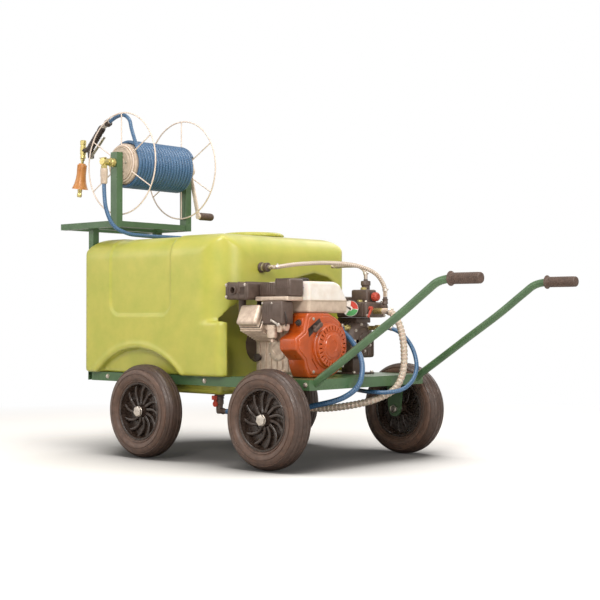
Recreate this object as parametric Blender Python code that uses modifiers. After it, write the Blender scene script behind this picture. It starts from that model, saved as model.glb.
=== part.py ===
# Wheeled sprayer cart with a petrol engine, a diaphragm pump, a square tank and a hose reel.
# Metres. +X points forward to the handles, -Y is the near side, +Z is up.
# The cart is laid out from the wheels: X and Y are measured from the middle of the wheelbase and track.
import math

import bmesh
import bpy
from mathutils import Matrix, Vector

# Driving dimensions
GAP = 0.0003
SHAFT_CLEARANCE = 0.0004

WHEELBASE = 0.650
TRACK = 0.790
TYRE_RADIUS = 0.180
TYRE_WIDTH = 0.095
BEAD_RADIUS = 0.108
BEAD_WIDTH = 0.066
HUB_RADIUS = 0.025
HUB_LENGTH = 0.072
AXLE_RADIUS = 0.010
SPOKES = 10
WHEEL_SIDES = 24

RAIL_TOP = 0.319
RAIL_HEIGHT = 0.035
RAIL_WIDTH = 0.020
RAIL_WEB = 0.003
HUB_STANDOFF = 0.026
RAIL_OUTER_Y = TRACK / 2 - HUB_LENGTH / 2 - HUB_STANDOFF
FRAME_REAR = -0.725
FRAME_FRONT = 0.463
DECK_REAR = 0.075
DECK_THICKNESS = 0.003
BRACKET_THICKNESS = 0.006
BRACKET_HALF_WIDTH = 0.030

HANDLE_Y = RAIL_OUTER_Y - 0.0355
HANDLE_RADIUS = 0.014
GRIP_RADIUS = 0.0185
GRIP_START = 1.033
GRIP_LENGTH = 0.122
GRIP_HEIGHT = 0.667

TANK_REAR = -0.711
TANK_FRONT = 0.061
TANK_HALF_WIDTH = 0.3635
TANK_TOP = 0.859
TANK_TOP_RADIUS = 0.085
TANK_CORNER = 0.095
TANK_FOOT_CORNER = 0.040
LEDGE_HEIGHT = 0.530
SUMP_BOTTOM = 0.248
RECESS_DEPTH = 0.130
ARCH_RADIUS = 0.348
ARCH_CENTRE = (-0.417, 0.071)
LID_CENTRE = (-0.235, 0.110)
LID_RADIUS = 0.125

STAND_CLEARANCE = 0.046
STAND_BASE = TANK_TOP + STAND_CLEARANCE
REEL_HEIGHT = 0.257
REEL_X = -0.560
REEL_Z = STAND_BASE + REEL_HEIGHT
RING_RADIUS = 0.205
WIRE_RADIUS = 0.003
NEAR_RING_Y = -0.318
FAR_RING_Y = 0.012
HUB_DISC_RADIUS = 0.069
SHAFT_RADIUS = 0.0125
CRANK_LENGTH = 0.200
CRANK_ANGLE = math.radians(14.5)
POST_WIDTH = 0.038
POST_DEPTH = 0.030
NEAR_POST_Y = -0.358
FAR_POST_Y = 0.022
STAND_BAR = 0.025
STAND_REAR = -0.899

HOSE_RADIUS = 0.0075
HOSE_LOOPS = 19
LOOP_PITCH = 0.0156
LOOP_POINTS = 24
WINDING_RADIUS = 0.0975
LEAD_ANGLE = math.radians(30)
LEAD_TAIL = 0.060

CRANKSHAFT_Y = -0.140
CRANKSHAFT_Z = 0.437
SHROUD_FRONT = 0.385
SHROUD_REAR = 0.300
RECOIL_RADIUS = 0.085
PUMP_X = 0.250
PUMP_Y = 0.155
PUMP_Z = 0.462

CENTRE_X = 0.128

# Sizes worked out from the driving dimensions

UPRIGHT_WIDTH = 0.030
UPRIGHT_REAR = FRAME_REAR - 0.028
CRANK_Y = FAR_POST_Y + POST_DEPTH + 0.004
CRANK_HUB_LENGTH = 0.018
CRANK_PIN_RADIUS = 0.005
CRANK_GRIP_LENGTH = 0.075
WINDING_NEAR_Y = NEAR_RING_Y + 0.0215
SWIVEL_HOSE_Y = NEAR_POST_Y - 0.050
GUN_Y = NEAR_RING_Y + 0.0197
GUN_CONNECTOR = (-0.095, 0.1815)
TRIGGER_PIVOT = (-0.216, 0.044)
BELL_START = (-0.269, 0.053)
BELL_AXIS = (-0.139, 0.0, -0.9903)
SHROUD_TOP = 0.5565
CYLINDER_FRONT = 0.235
CYLINDER_TILT = math.radians(25)
CYLINDER_ROOT = (0.0, CRANKSHAFT_Y, CRANKSHAFT_Z + 0.018)
CARBURETTOR_TOP = 0.600
CONTROL_BOTTOM = 0.5403
FEED_SPIGOT_Y = 0.062
DELIVERY_SPIGOT_X = 0.386
SUCTION_SPIGOT_X = 0.412
KNOB_X = 0.345
TOWER_TOP = 0.690
RETURN_END_BASE = (0.391, 0.190, 0.580)
RETURN_END_Z = 0.620
GUARD_RADIUS = 0.070
GUARD_REAR = 0.030
RIBBED_RADIUS = 0.0140
RIB_PITCH = 0.018
SWITCH_X = 0.356
SWITCH_Y = -0.2660
NECK_HEIGHT = 0.010
LID_PIN_RADIUS = 0.002
LID_HINGE_HALF_WIDTH = 0.020

PARTS = None
HELPERS = None
ROOT = None


# Scene set-up and small helpers


def clear_scene():
    for thing in list(bpy.data.objects):
        bpy.data.objects.remove(thing)


def new_collection(name):
    collection = bpy.data.collections.new(name)
    bpy.context.scene.collection.children.link(collection)
    return collection


def paint(name, colour, metallic=0.0, roughness=0.5):
    material = bpy.data.materials.new(name)
    material.use_nodes = True
    shader = material.node_tree.nodes["Principled BSDF"]
    shader.inputs["Base Color"].default_value = (*colour, 1.0)
    shader.inputs["Metallic"].default_value = metallic
    shader.inputs["Roughness"].default_value = roughness
    return material


def add_object(name, mesh):
    thing = bpy.data.objects.new(name, mesh)
    PARTS.objects.link(thing)
    thing.parent = ROOT
    return thing


def from_bmesh(name, shape):
    bmesh.ops.recalc_face_normals(shape, faces=shape.faces)
    mesh = bpy.data.meshes.new(name)
    shape.to_mesh(mesh)
    shape.free()
    return add_object(name, mesh)


def give(thing, material):
    thing.data.materials.clear()
    thing.data.materials.append(material)
    return thing


def as_helper(thing):
    PARTS.objects.unlink(thing)
    HELPERS.objects.link(thing)
    thing.hide_render = True
    thing.display_type = "WIRE"


def cart_place(thing):
    """Where the origin lies in the cart's frame, as nothing here is turned."""
    place = Vector((0, 0, 0))
    while thing is not ROOT:
        place += thing.location
        thing = thing.parent
    return place


def combine(thing, others, operation):
    """Live Booleans. Each helper hangs from the piece it shapes, so that they move together."""
    for other in others:
        as_helper(other)
        other.parent = thing
        other.location = -cart_place(thing)
        step = thing.modifiers.new(f"{operation.lower()} {other.name}", "BOOLEAN")
        step.operation = operation
        step.solver = "EXACT"
        step.object = other
    return thing


def join(thing, *others):
    return combine(thing, others, "UNION")


def cut(thing, *others):
    return combine(thing, others, "DIFFERENCE")


def pivot(thing, point, parent=None):
    """Puts the origin on the joint axis and hangs the piece from a parent."""
    point = Vector(point)
    thing.data.transform(Matrix.Translation(-point))
    thing.parent = parent or ROOT
    thing.location = point - cart_place(thing.parent)
    for helper in thing.children:
        helper.location -= point
    return thing


def pivot_empty(name, point):
    empty = bpy.data.objects.new(name, None)
    PARTS.objects.link(empty)
    empty.parent = ROOT
    empty.location = point
    return empty


# Basic solids


def block(name, low, high, bevel=0.0, segments=2):
    shape = bmesh.new()
    bmesh.ops.create_cube(shape, size=1.0)
    low, high = Vector(low), Vector(high)
    for corner in shape.verts:
        corner.co = Vector(
            (high[k] - low[k]) * corner.co[k] + (high[k] + low[k]) / 2 for k in range(3)
        )
    thing = from_bmesh(name, shape)
    if bevel:
        step = thing.modifiers.new("rounded edges", "BEVEL")
        step.width = bevel
        step.segments = segments
        step.limit_method = "ANGLE"
    return thing


def prism(name, outline, axis, low, high):
    """Extrudes an outline: (y, z) along X, (x, z) along Y or (x, y) along Z."""
    lift = {
        "X": lambda u, v, w: (w, u, v),
        "Y": lambda u, v, w: (u, w, v),
        "Z": lambda u, v, w: (u, v, w),
    }[axis]
    shape = bmesh.new()
    lower = [shape.verts.new(lift(u, v, low)) for u, v in outline]
    upper = [shape.verts.new(lift(u, v, high)) for u, v in outline]
    shape.faces.new(lower)
    shape.faces.new(upper)
    count = len(outline)
    for i in range(count):
        j = (i + 1) % count
        shape.faces.new((lower[i], lower[j], upper[j], upper[i]))
    return from_bmesh(name, shape)


def turned(name, profile, start, direction, sides=24, ring=False):
    """Turns (radius, distance) points round an axis. A ring profile closes on itself."""
    turn = Vector((0, 0, 1)).rotation_difference(Vector(direction)).to_matrix()
    shape = bmesh.new()
    rows = []
    for radius, along in profile:
        if radius == 0:
            rows.append([shape.verts.new(Vector(start) + turn @ Vector((0, 0, along)))])
            continue
        row = []
        for i in range(sides):
            angle = 2 * math.pi * i / sides
            spoke = Vector((radius * math.cos(angle), radius * math.sin(angle), along))
            row.append(shape.verts.new(Vector(start) + turn @ spoke))
        rows.append(row)
    pairs = list(zip(rows, rows[1:]))
    if ring:
        pairs.append((rows[-1], rows[0]))
    for a, b in pairs:
        for i in range(sides):
            j = (i + 1) % sides
            corners = [a[i % len(a)], a[j % len(a)], b[j % len(b)], b[i % len(b)]]
            corners = list(dict.fromkeys(corners))
            if len(corners) > 2:
                shape.faces.new(corners)
    return from_bmesh(name, shape)


def rod(name, start, end, radius, sides=16):
    start, end = Vector(start), Vector(end)
    long = (end - start).length
    profile = [(0, 0), (radius, 0), (radius, long), (0, long)]
    return turned(name, profile, start, end - start, sides)


def arc(centre, radius, start, end, steps):
    """Points of an arc in a plane, with the angles in degrees."""
    points = []
    for i in range(steps + 1):
        angle = math.radians(start + (end - start) * i / steps)
        points.append(
            (centre[0] + radius * math.cos(angle), centre[1] + radius * math.sin(angle))
        )
    return points


def smooth_route(route, spacing):
    """Evenly spaced points on a Catmull-Rom curve through the route, with its end pieces left straight."""
    route = [Vector(p) for p in route]
    fine = []
    for a, b, c, d in zip(route, route[1:], route[2:], route[3:]):
        knots = [0.0]
        for p, q in ((a, b), (b, c), (c, d)):
            knots.append(knots[-1] + max((q - p).length, 1e-6) ** 0.5)
        t0, t1, t2, t3 = knots
        for i in range(40):
            t = t1 + (t2 - t1) * i / 40
            ab = a * ((t1 - t) / (t1 - t0)) + b * ((t - t0) / (t1 - t0))
            bc = b * ((t2 - t) / (t2 - t1)) + c * ((t - t1) / (t2 - t1))
            cd = c * ((t3 - t) / (t3 - t2)) + d * ((t - t2) / (t3 - t2))
            abc = ab * ((t2 - t) / (t2 - t0)) + bc * ((t - t0) / (t2 - t0))
            bcd = bc * ((t3 - t) / (t3 - t1)) + cd * ((t - t1) / (t3 - t1))
            fine.append(abc * ((t2 - t) / (t2 - t1)) + bcd * ((t - t1) / (t2 - t1)))
    fine.append(route[-2])
    along = [0.0]
    for p, q in zip(fine, fine[1:]):
        along.append(along[-1] + (q - p).length)
    count = max(2, round(along[-1] / spacing))
    points = [route[0]]
    k = 0
    for i in range(count + 1):
        target = along[-1] * i / count
        while k < len(fine) - 2 and along[k + 1] < target:
            k += 1
        share = (target - along[k]) / max(along[k + 1] - along[k], 1e-9)
        points.append(fine[k].lerp(fine[k + 1], min(max(share, 0.0), 1.0)))
    points.append(route[-1])
    return points


def tube(name, points, radius, resolution=2, closed=False, factors=None):
    """A round tube along the points, as a mesh. factors scale its radius point by point."""
    curve = bpy.data.curves.new(name, "CURVE")
    curve.dimensions = "3D"
    curve.bevel_depth = radius
    curve.bevel_resolution = resolution
    curve.use_fill_caps = not closed
    spline = curve.splines.new("POLY")
    spline.points.add(len(points) - 1)
    for i, point in enumerate(points):
        spline.points[i].co = (*point, 1.0)
        spline.points[i].radius = factors[i] if factors else 1.0
    spline.use_cyclic_u = closed
    guide = bpy.data.objects.new(name + " guide", curve)
    mesh = bpy.data.meshes.new_from_object(guide)
    bpy.data.objects.remove(guide)
    bpy.data.curves.remove(curve)
    mesh.name = name
    shape = bmesh.new()
    shape.from_mesh(mesh)
    bmesh.ops.remove_doubles(shape, verts=shape.verts, dist=1e-6)
    bpy.data.meshes.remove(mesh)
    return from_bmesh(name, shape)


def circle(centre, radius, count):
    """Points of a circle in the XZ plane."""
    points = []
    for i in range(count):
        angle = 2 * math.pi * i / count
        points.append(
            (
                centre[0] + radius * math.cos(angle),
                centre[1],
                centre[2] + radius * math.sin(angle),
            )
        )
    return points


# Chassis, wheels and handles


def rail(name, side):
    outer = side * RAIL_OUTER_Y
    inner = side * (RAIL_OUTER_Y - RAIL_WIDTH)
    web = side * (RAIL_OUTER_Y - RAIL_WEB)
    bottom = RAIL_TOP - RAIL_HEIGHT
    outline = [
        (outer, bottom),
        (outer, RAIL_TOP),
        (inner, RAIL_TOP),
        (inner, RAIL_TOP - RAIL_WEB),
        (web, RAIL_TOP - RAIL_WEB),
        (web, bottom + RAIL_WEB),
        (inner, bottom + RAIL_WEB),
        (inner, bottom),
    ]
    return prism(name, outline, "X", FRAME_REAR, FRAME_FRONT)


def cross_member(name, rear, front, half_width):
    bottom = RAIL_TOP - RAIL_HEIGHT
    outline = [
        (rear, bottom),
        (rear, RAIL_TOP),
        (front, RAIL_TOP),
        (front, bottom),
        (front - RAIL_WEB, bottom),
        (front - RAIL_WEB, RAIL_TOP - RAIL_WEB),
        (rear + RAIL_WEB, RAIL_TOP - RAIL_WEB),
        (rear + RAIL_WEB, bottom),
    ]
    return prism(name, outline, "Y", -half_width, half_width)


def chassis(steel):
    inside = RAIL_OUTER_Y - RAIL_WEB / 2
    members = [
        cross_member("rear cross member", FRAME_REAR - 0.030, FRAME_REAR + 0.004, 0.328),
        cross_member("rear tie", FRAME_REAR + 0.002, FRAME_REAR + 0.030, inside),
        cross_member("middle cross member", -0.390, -0.360, inside),
        cross_member("engine cross member", 0.080, 0.110, inside),
        cross_member("front cross member", FRAME_FRONT - 0.030, FRAME_FRONT, inside),
    ]
    deck = block(
        "deck plate",
        (DECK_REAR, -inside, RAIL_TOP - DECK_THICKNESS / 2),
        (FRAME_FRONT, inside, RAIL_TOP + DECK_THICKNESS),
    )
    body = join(rail("chassis", -1), rail("far rail", 1), *members, deck)
    seats = [
        tube(f"handle seat {side}", smooth_route(handle_route(side), 0.050), HANDLE_RADIUS + 2 * GAP)
        for side in (-1, 1)
    ]
    return give(cut(body, *seats), steel)


def bracket(name, x, side, steel):
    low = TYRE_RADIUS
    outline = arc((x, low), BRACKET_HALF_WIDTH, 180, 360, 8)
    outline += [(x + BRACKET_HALF_WIDTH + 0.012, RAIL_TOP), (x - BRACKET_HALF_WIDTH - 0.012, RAIL_TOP)]
    near = side * (RAIL_OUTER_Y + GAP)
    far = side * (RAIL_OUTER_Y + GAP + BRACKET_THICKNESS)
    plate = prism(name, outline, "Y", min(near, far), max(near, far))
    reach = side * BRACKET_THICKNESS
    bore = AXLE_RADIUS + SHAFT_CLEARANCE
    hole = rod(name + " hole", (x, near - reach, low), (x, far + reach, low), bore, 12)
    return give(cut(plate, hole), steel)


def axle(name, x, side, zinc):
    centre = TRACK / 2
    profile = [
        (0, RAIL_OUTER_Y - 0.011),
        (0.015, RAIL_OUTER_Y - 0.011),
        (0.015, RAIL_OUTER_Y),
        (AXLE_RADIUS, RAIL_OUTER_Y),
        (AXLE_RADIUS, RAIL_OUTER_Y + BRACKET_THICKNESS + 2 * GAP),
        (0.016, RAIL_OUTER_Y + BRACKET_THICKNESS + 2 * GAP),
        (0.016, centre - HUB_LENGTH / 2 - GAP),
        (AXLE_RADIUS, centre - HUB_LENGTH / 2 - GAP),
        (AXLE_RADIUS, centre + HUB_LENGTH / 2 + GAP),
        (0.021, centre + HUB_LENGTH / 2 + GAP),
        (0.019, centre + HUB_LENGTH / 2 + 0.009),
        (0, centre + HUB_LENGTH / 2 + 0.010),
    ]
    body = turned(name, profile, (x, 0, TYRE_RADIUS), (0, side, 0), 12)
    return give(body, zinc)


def tyre(name, x, side, wheel, rubber):
    half = TYRE_WIDTH / 2
    bead = BEAD_WIDTH / 2
    profile = [
        (BEAD_RADIUS, -bead),
        (BEAD_RADIUS + 0.026, -half),
        (TYRE_RADIUS - 0.020, -half + 0.007),
        (TYRE_RADIUS - 0.003, -half + 0.024),
        (TYRE_RADIUS, 0),
        (TYRE_RADIUS - 0.003, half - 0.024),
        (TYRE_RADIUS - 0.020, half - 0.007),
        (BEAD_RADIUS + 0.026, half),
        (BEAD_RADIUS, bead),
    ]
    centre = (x, side * TRACK / 2, TYRE_RADIUS)
    body = turned(name, profile, centre, (0, 1, 0), WHEEL_SIDES, True)
    return give(pivot(body, centre, wheel), rubber)


def rim(name, x, side, plastic):
    centre = Vector((x, side * TRACK / 2, TYRE_RADIUS))
    seat = BEAD_RADIUS - GAP
    inner = seat - 0.004
    half = BEAD_WIDTH / 2
    lip = BEAD_RADIUS + 0.0035
    profile = [
        (inner, -half - 0.005),
        (lip, -half - 0.005),
        (seat, -half - 0.0018),
        (seat, half + 0.0018),
        (lip, half + 0.005),
        (inner, half + 0.005),
    ]
    body = turned(name, profile, centre, (0, 1, 0), WHEEL_SIDES, True)
    bore = AXLE_RADIUS + SHAFT_CLEARANCE
    hub_profile = [
        (bore, -HUB_LENGTH / 2),
        (HUB_RADIUS, -HUB_LENGTH / 2),
        (HUB_RADIUS, HUB_LENGTH / 2),
        (bore, HUB_LENGTH / 2),
    ]
    hub = turned(name + " hub", hub_profile, centre, (0, 1, 0), 12, True)
    spokes = []
    for i in range(SPOKES):
        turn = Matrix.Rotation(2 * math.pi * i / SPOKES, 4, "Y")
        low = (HUB_RADIUS - 0.004, -0.011, -0.004)
        spoke = block(f"{name} spoke {i}", low, (inner + 0.002, 0.011, 0.004))
        spoke.data.transform(Matrix.Translation(centre) @ turn)
        spokes.append(spoke)
    return give(pivot(join(body, hub, *spokes), centre), plastic)


def wheels(paints):
    for end, x in (("rear", -WHEELBASE / 2), ("front", WHEELBASE / 2)):
        for side_name, side in (("near", -1), ("far", 1)):
            tag = f"{end}_{side_name}"
            bracket(f"wheel_bracket_{tag}", x, side, paints["green_steel"])
            axle(f"axle_{tag}", x, side, paints["zinc"])
            wheel = rim(f"rim_{tag}", x, side, paints["black_plastic"])
            tyre(f"tyre_{tag}", x, side, wheel, paints["rubber"])


def handle_route(side):
    y = side * HANDLE_Y
    bar = RAIL_TOP - RAIL_HEIGHT / 2 - 0.001
    return [
        (0.120, y, bar),
        (0.300, y, bar),
        (0.440, y, bar),
        (0.490, y, 0.331),
        (0.530, y, 0.356),
        (0.700, y, 0.466),
        (0.840, y, 0.556),
        (0.945, y, 0.630),
        (0.985, y, 0.656),
        (GRIP_START, y, GRIP_HEIGHT),
        (GRIP_START + GRIP_LENGTH - 0.006, y, GRIP_HEIGHT),
    ]


def handle(name, side, steel):
    points = smooth_route(handle_route(side), 0.050)
    return give(tube(name, points, HANDLE_RADIUS), steel)


def grip(name, side, rubber):
    y = side * HANDLE_Y
    bore = HANDLE_RADIUS + 2 * GAP
    profile = [
        (bore, 0.004),
        (GRIP_RADIUS + 0.006, 0.004),
        (GRIP_RADIUS + 0.006, 0.009),
        (GRIP_RADIUS - 0.001, 0.012),
        (GRIP_RADIUS, GRIP_LENGTH - 0.004),
        (GRIP_RADIUS - 0.004, GRIP_LENGTH + 0.002),
        (0, GRIP_LENGTH + 0.002),
        (0, GRIP_LENGTH - 0.0055),
        (bore, GRIP_LENGTH - 0.0055),
    ]
    start = (GRIP_START, y, GRIP_HEIGHT)
    return give(turned(name, profile, start, (1, 0, 0), 16, True), rubber)


# Tank


def rounded_plan(x0, x1, y0, y1, corner, steps=4):
    """An XY outline with rounded corners."""
    outline = []
    for cx, cy, start in (
        (x1 - corner, y1 - corner, 0),
        (x0 + corner, y1 - corner, 90),
        (x0 + corner, y0 + corner, 180),
        (x1 - corner, y0 + corner, 270),
    ):
        outline += arc((cx, cy), corner, start, start + 90, steps)
    return outline


def domed_box(name, low, high, corner, top_radius, steps=4):
    """A box with rounded upright corners and a rounded top edge."""
    shape = bmesh.new()
    levels = [(0.0, low[2]), (0.0, high[2] - top_radius)]
    for i in range(1, steps + 1):
        angle = math.pi / 2 * i / steps
        levels.append(
            (
                top_radius * (1 - math.cos(angle)) * 0.999,
                high[2] - top_radius + top_radius * math.sin(angle),
            )
        )
    rows = []
    for inset, z in levels:
        plan = rounded_plan(
            low[0] + inset,
            high[0] - inset,
            low[1] + inset,
            high[1] - inset,
            max(corner - inset, 0.006),
        )
        rows.append([shape.verts.new((x, y, z)) for x, y in plan])
    count = len(rows[0])
    for a, b in zip(rows, rows[1:]):
        for i in range(count):
            j = (i + 1) % count
            shape.faces.new((a[i], a[j], b[j], b[i]))
    shape.faces.new(rows[0])
    shape.faces.new(rows[-1])
    return from_bmesh(name, shape)


def tank(plastic):
    bottom = RAIL_TOP + GAP
    side = TANK_HALF_WIDTH
    body = domed_box(
        "tank", (TANK_REAR, -side, bottom), (TANK_FRONT, side, TANK_TOP), TANK_CORNER, TANK_TOP_RADIUS
    )
    feet = [
        prism(
            f"{tag} front foot",
            rounded_plan(-0.250, TANK_FRONT, min(y0, y1), max(y0, y1), TANK_FOOT_CORNER / 2, 3),
            "Z",
            bottom,
            LEDGE_HEIGHT,
        )
        for tag, y0, y1 in (("near", -side, -side + 0.120), ("far", side, side - 0.120))
    ]
    sump_side = RAIL_OUTER_Y - RAIL_WIDTH - 0.013
    high = (-0.008, sump_side, bottom + 0.02)
    sump = block("sump", (-0.330, -sump_side, SUMP_BOTTOM), high, 0.012, 2)
    recess = prism("engine recess", recess_outline(), "X", TANK_FRONT - RECESS_DEPTH, TANK_FRONT + 0.1)
    arches = [
        rod(
            f"{tag} wheel arch",
            (ARCH_CENTRE[0], sign * (side + 0.05), ARCH_CENTRE[1]),
            (ARCH_CENTRE[0], sign * (RAIL_OUTER_Y - 0.005), ARCH_CENTRE[1]),
            ARCH_RADIUS,
            56,
        )
        for tag, sign in (("near", -1), ("far", 1))
    ]
    mouth = rod(
        "filler mouth",
        (*LID_CENTRE, TANK_TOP - 0.180),
        (*LID_CENTRE, TANK_TOP + 0.1),
        LID_RADIUS - 0.030,
        24,
    )
    neck = turned(
        "filler neck",
        [
            (0, -0.020),
            (LID_RADIUS - 0.018, -0.020),
            (LID_RADIUS - 0.018, NECK_HEIGHT),
            (0, NECK_HEIGHT),
        ],
        (*LID_CENTRE, TANK_TOP),
        (0, 0, 1),
        24,
    )
    join(body, *feet, sump, neck, *lid_hinge_lugs())
    cut(body, recess, *arches, mouth)
    return give(body, plastic)


def recess_outline():
    """The arch over the engine, as the photo shows it on the tank's front face."""
    floor = RAIL_TOP - 0.01
    return [
        (-0.330, floor),
        (0.330, floor),
        (0.338, 0.560),
        (0.335, 0.625),
        (0.300, 0.672),
        (0.240, 0.703),
        (0.160, 0.716),
        (0.087, 0.702),
        (-0.080, 0.660),
        (-0.240, 0.606),
        (-0.300, 0.575),
        (-0.330, 0.535),
    ]


def tank_lid(plastic):
    x, y = LID_CENTRE
    seat = TANK_TOP + NECK_HEIGHT + GAP
    profile = [
        (0, 0),
        (LID_RADIUS, 0),
        (LID_RADIUS, 0.010),
        (LID_RADIUS - 0.010, 0.016),
        (0, 0.018),
    ]
    body = turned("tank_lid", profile, (x, y, seat), (0, 0, 1), 24)
    hinge = Vector((x - LID_RADIUS - 0.012, y, seat + 0.004))
    tab = block(
        "lid tab",
        hinge - Vector((0.006, LID_HINGE_HALF_WIDTH, 0.004)),
        hinge + Vector((0.030, LID_HINGE_HALF_WIDTH, 0.004)),
    )
    reach = Vector((0, 0.05, 0))
    bore = rod("lid hinge bore", hinge - reach, hinge + reach, LID_PIN_RADIUS + SHAFT_CLEARANCE, 8)
    return give(pivot(cut(join(body, tab), bore), hinge), plastic)


def lid_hinge_lugs():
    """Two lugs on the tank with the pin that the lid's tab turns on."""
    x, y = LID_CENTRE
    hinge = Vector((x - LID_RADIUS - 0.012, y, TANK_TOP + NECK_HEIGHT + GAP + 0.004))
    pieces = []
    for sign in (-1, 1):
        ends = sorted((y + sign * (LID_HINGE_HALF_WIDTH + GAP), y + sign * (LID_HINGE_HALF_WIDTH + 0.008)))
        low = (hinge.x - 0.006, ends[0], TANK_TOP - 0.004)
        pieces.append(block(f"lid lug {sign}", low, (hinge.x + 0.006, ends[1], hinge.z + 0.005)))
    reach = Vector((0, LID_HINGE_HALF_WIDTH + 0.004, 0))
    pieces.append(rod("lid hinge pin", hinge - reach, hinge + reach, LID_PIN_RADIUS, 8))
    return pieces


def outlet(paints):
    x, y = -0.066, -0.250
    top = SUMP_BOTTOM - GAP
    body = turned(
        "outlet_valve",
        [
            (0, 0),
            (0.020, 0),
            (0.020, -0.008),
            (0.013, -0.010),
            (0.013, -0.022),
            (0.017, -0.024),
            (0.017, -0.048),
            (0.012, -0.050),
            (0.012, -0.074),
            (0, -0.074),
        ],
        (x, y, top),
        (0, 0, 1),
        14,
    )
    spigot = rod("outlet spigot", (x, y, top - 0.064), (x + 0.040, y, top - 0.064), 0.0085, 12)
    stem_hole = rod("stem seat", (x, y - 0.0135, top - 0.036), (x, y - 0.03, top - 0.036), 0.0064, 12)
    join(body, spigot)
    cut(body, stem_hole)
    give(body, paints["grey_plastic"])
    pin = turned(
        "outlet_lever",
        [(0, 0.0140), (0.006, 0.0140), (0.006, 0.020), (0.011, 0.020), (0.011, 0.026), (0, 0.026)],
        (x, y, top - 0.036),
        (0, -1, 0),
        12,
    )
    arm = block("lever arm", (x - 0.006, y - 0.0255, top - 0.036), (x + 0.006, y - 0.0205, top - 0.006))
    grip_bar = block("lever grip", (x - 0.008, y - 0.034, top - 0.020), (x + 0.008, y - 0.0205, top - 0.004))
    join(pin, arm, grip_bar)
    give(pivot(pin, (x, y - 0.020, top - 0.036)), paints["red_plastic"])


def return_fitting(plastic):
    start = (TANK_FRONT + GAP, -0.155, 0.731)
    profile = [
        (0, 0),
        (0.020, 0),
        (0.020, 0.008),
        (0.013, 0.010),
        (0.013, 0.020),
        (0.018, 0.022),
        (0.018, 0.038),
        (0.0085, 0.040),
        (0.0085, 0.055),
        (0, 0.055),
    ]
    return give(turned("return_fitting", profile, start, (1, 0, 0), 14), plastic)


# Reel stand and reel


def reel_stand(steel):
    low = STAND_BASE
    high = STAND_BASE + STAND_BAR
    front = REEL_X + POST_WIDTH / 2
    near = NEAR_POST_Y
    far = FAR_POST_Y + POST_DEPTH
    body = block("reel_stand", (STAND_REAR, near, low), (front, near + POST_DEPTH, high))
    far_bar = block("far bar", (STAND_REAR, FAR_POST_Y, low), (front, far, high))
    cross_bars = [
        block(f"cross bar {i}", (x, near + 0.002, low + 0.001), (x + width, far - 0.002, high - 0.001))
        for i, (x, width) in enumerate(
            (
                (STAND_REAR + 0.002, STAND_BAR),
                (UPRIGHT_REAR, UPRIGHT_WIDTH),
                (front - POST_WIDTH + 0.002, POST_WIDTH - 0.004),
            )
        )
    ]
    uprights = [
        block(
            f"upright {i}",
            (UPRIGHT_REAR, y, RAIL_TOP + GAP),
            (UPRIGHT_REAR + UPRIGHT_WIDTH - 0.001, y + UPRIGHT_WIDTH, low + 0.010),
        )
        for i, y in enumerate((near + POST_DEPTH, FAR_POST_Y))
    ]
    posts = [
        block(f"post {i}", (front - POST_WIDTH, y, low + 0.005), (front, y + POST_DEPTH, REEL_Z + 0.043))
        for i, y in enumerate((near, FAR_POST_Y))
    ]
    join(body, far_bar, *cross_bars, *uprights, *posts)
    bore_radius = SHAFT_RADIUS + SHAFT_CLEARANCE
    bore = rod("shaft bore", (REEL_X, near - 0.05, REEL_Z), (REEL_X, far + 0.05, REEL_Z), bore_radius, 16)
    cut(body, bore)
    return give(body, steel)


def drum(parent, plastic):
    core = WINDING_RADIUS - 2 * HOSE_RADIUS - 1.5 * GAP
    shaft = SHAFT_RADIUS
    profile = [
        (0, NEAR_POST_Y - 0.013),
        (shaft, NEAR_POST_Y - 0.013),
        (shaft, NEAR_RING_Y - 0.0075),
        (HUB_DISC_RADIUS, NEAR_RING_Y - 0.0075),
        (HUB_DISC_RADIUS, NEAR_RING_Y + 0.0045),
        (core, NEAR_RING_Y + 0.0090),
        (core, FAR_RING_Y - 0.0090),
        (HUB_DISC_RADIUS, FAR_RING_Y - 0.0045),
        (HUB_DISC_RADIUS, FAR_RING_Y + 0.0050),
        (shaft, FAR_RING_Y + 0.0050),
        (shaft, CRANK_Y + CRANK_HUB_LENGTH + 0.001),
        (0, CRANK_Y + CRANK_HUB_LENGTH + 0.001),
    ]
    body = turned("drum", profile, (REEL_X, 0, REEL_Z), (0, 1, 0), 24)
    return give(pivot(body, (REEL_X, 0, REEL_Z), parent), plastic)


def flange_ring(name, y, parent, wire_paint):
    centre = (REEL_X, y, REEL_Z)
    inner = HUB_DISC_RADIUS + WIRE_RADIUS + 0.0014
    body = tube(name, circle(centre, RING_RADIUS, 30), WIRE_RADIUS, 1, True)
    hoop = tube(name + " hoop", circle(centre, inner, 20), WIRE_RADIUS, 1, True)
    spokes = []
    for i in range(6):
        angle = math.radians(30 + 60 * i)
        ray = Vector((math.cos(angle), 0, math.sin(angle)))
        start = Vector(centre) + ray * inner
        end = Vector(centre) + ray * (RING_RADIUS - 0.0005)
        spokes.append(rod(f"{name} spoke {i}", start, end, WIRE_RADIUS * 0.8, 5))
    join(body, hoop, *spokes)
    return give(pivot(body, (REEL_X, 0, REEL_Z), parent), wire_paint)


def winding_point(turns):
    angle = LEAD_ANGLE - 2 * math.pi * turns
    radius = WINDING_RADIUS - HOSE_RADIUS
    return Vector(
        (
            REEL_X + radius * math.cos(angle),
            WINDING_NEAR_Y + LOOP_PITCH * turns,
            REEL_Z + radius * math.sin(angle),
        )
    )


def lead_away():
    """The way that the hose leaves the winding."""
    return (winding_point(0) - winding_point(1 / LOOP_POINTS)).normalized()


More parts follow.
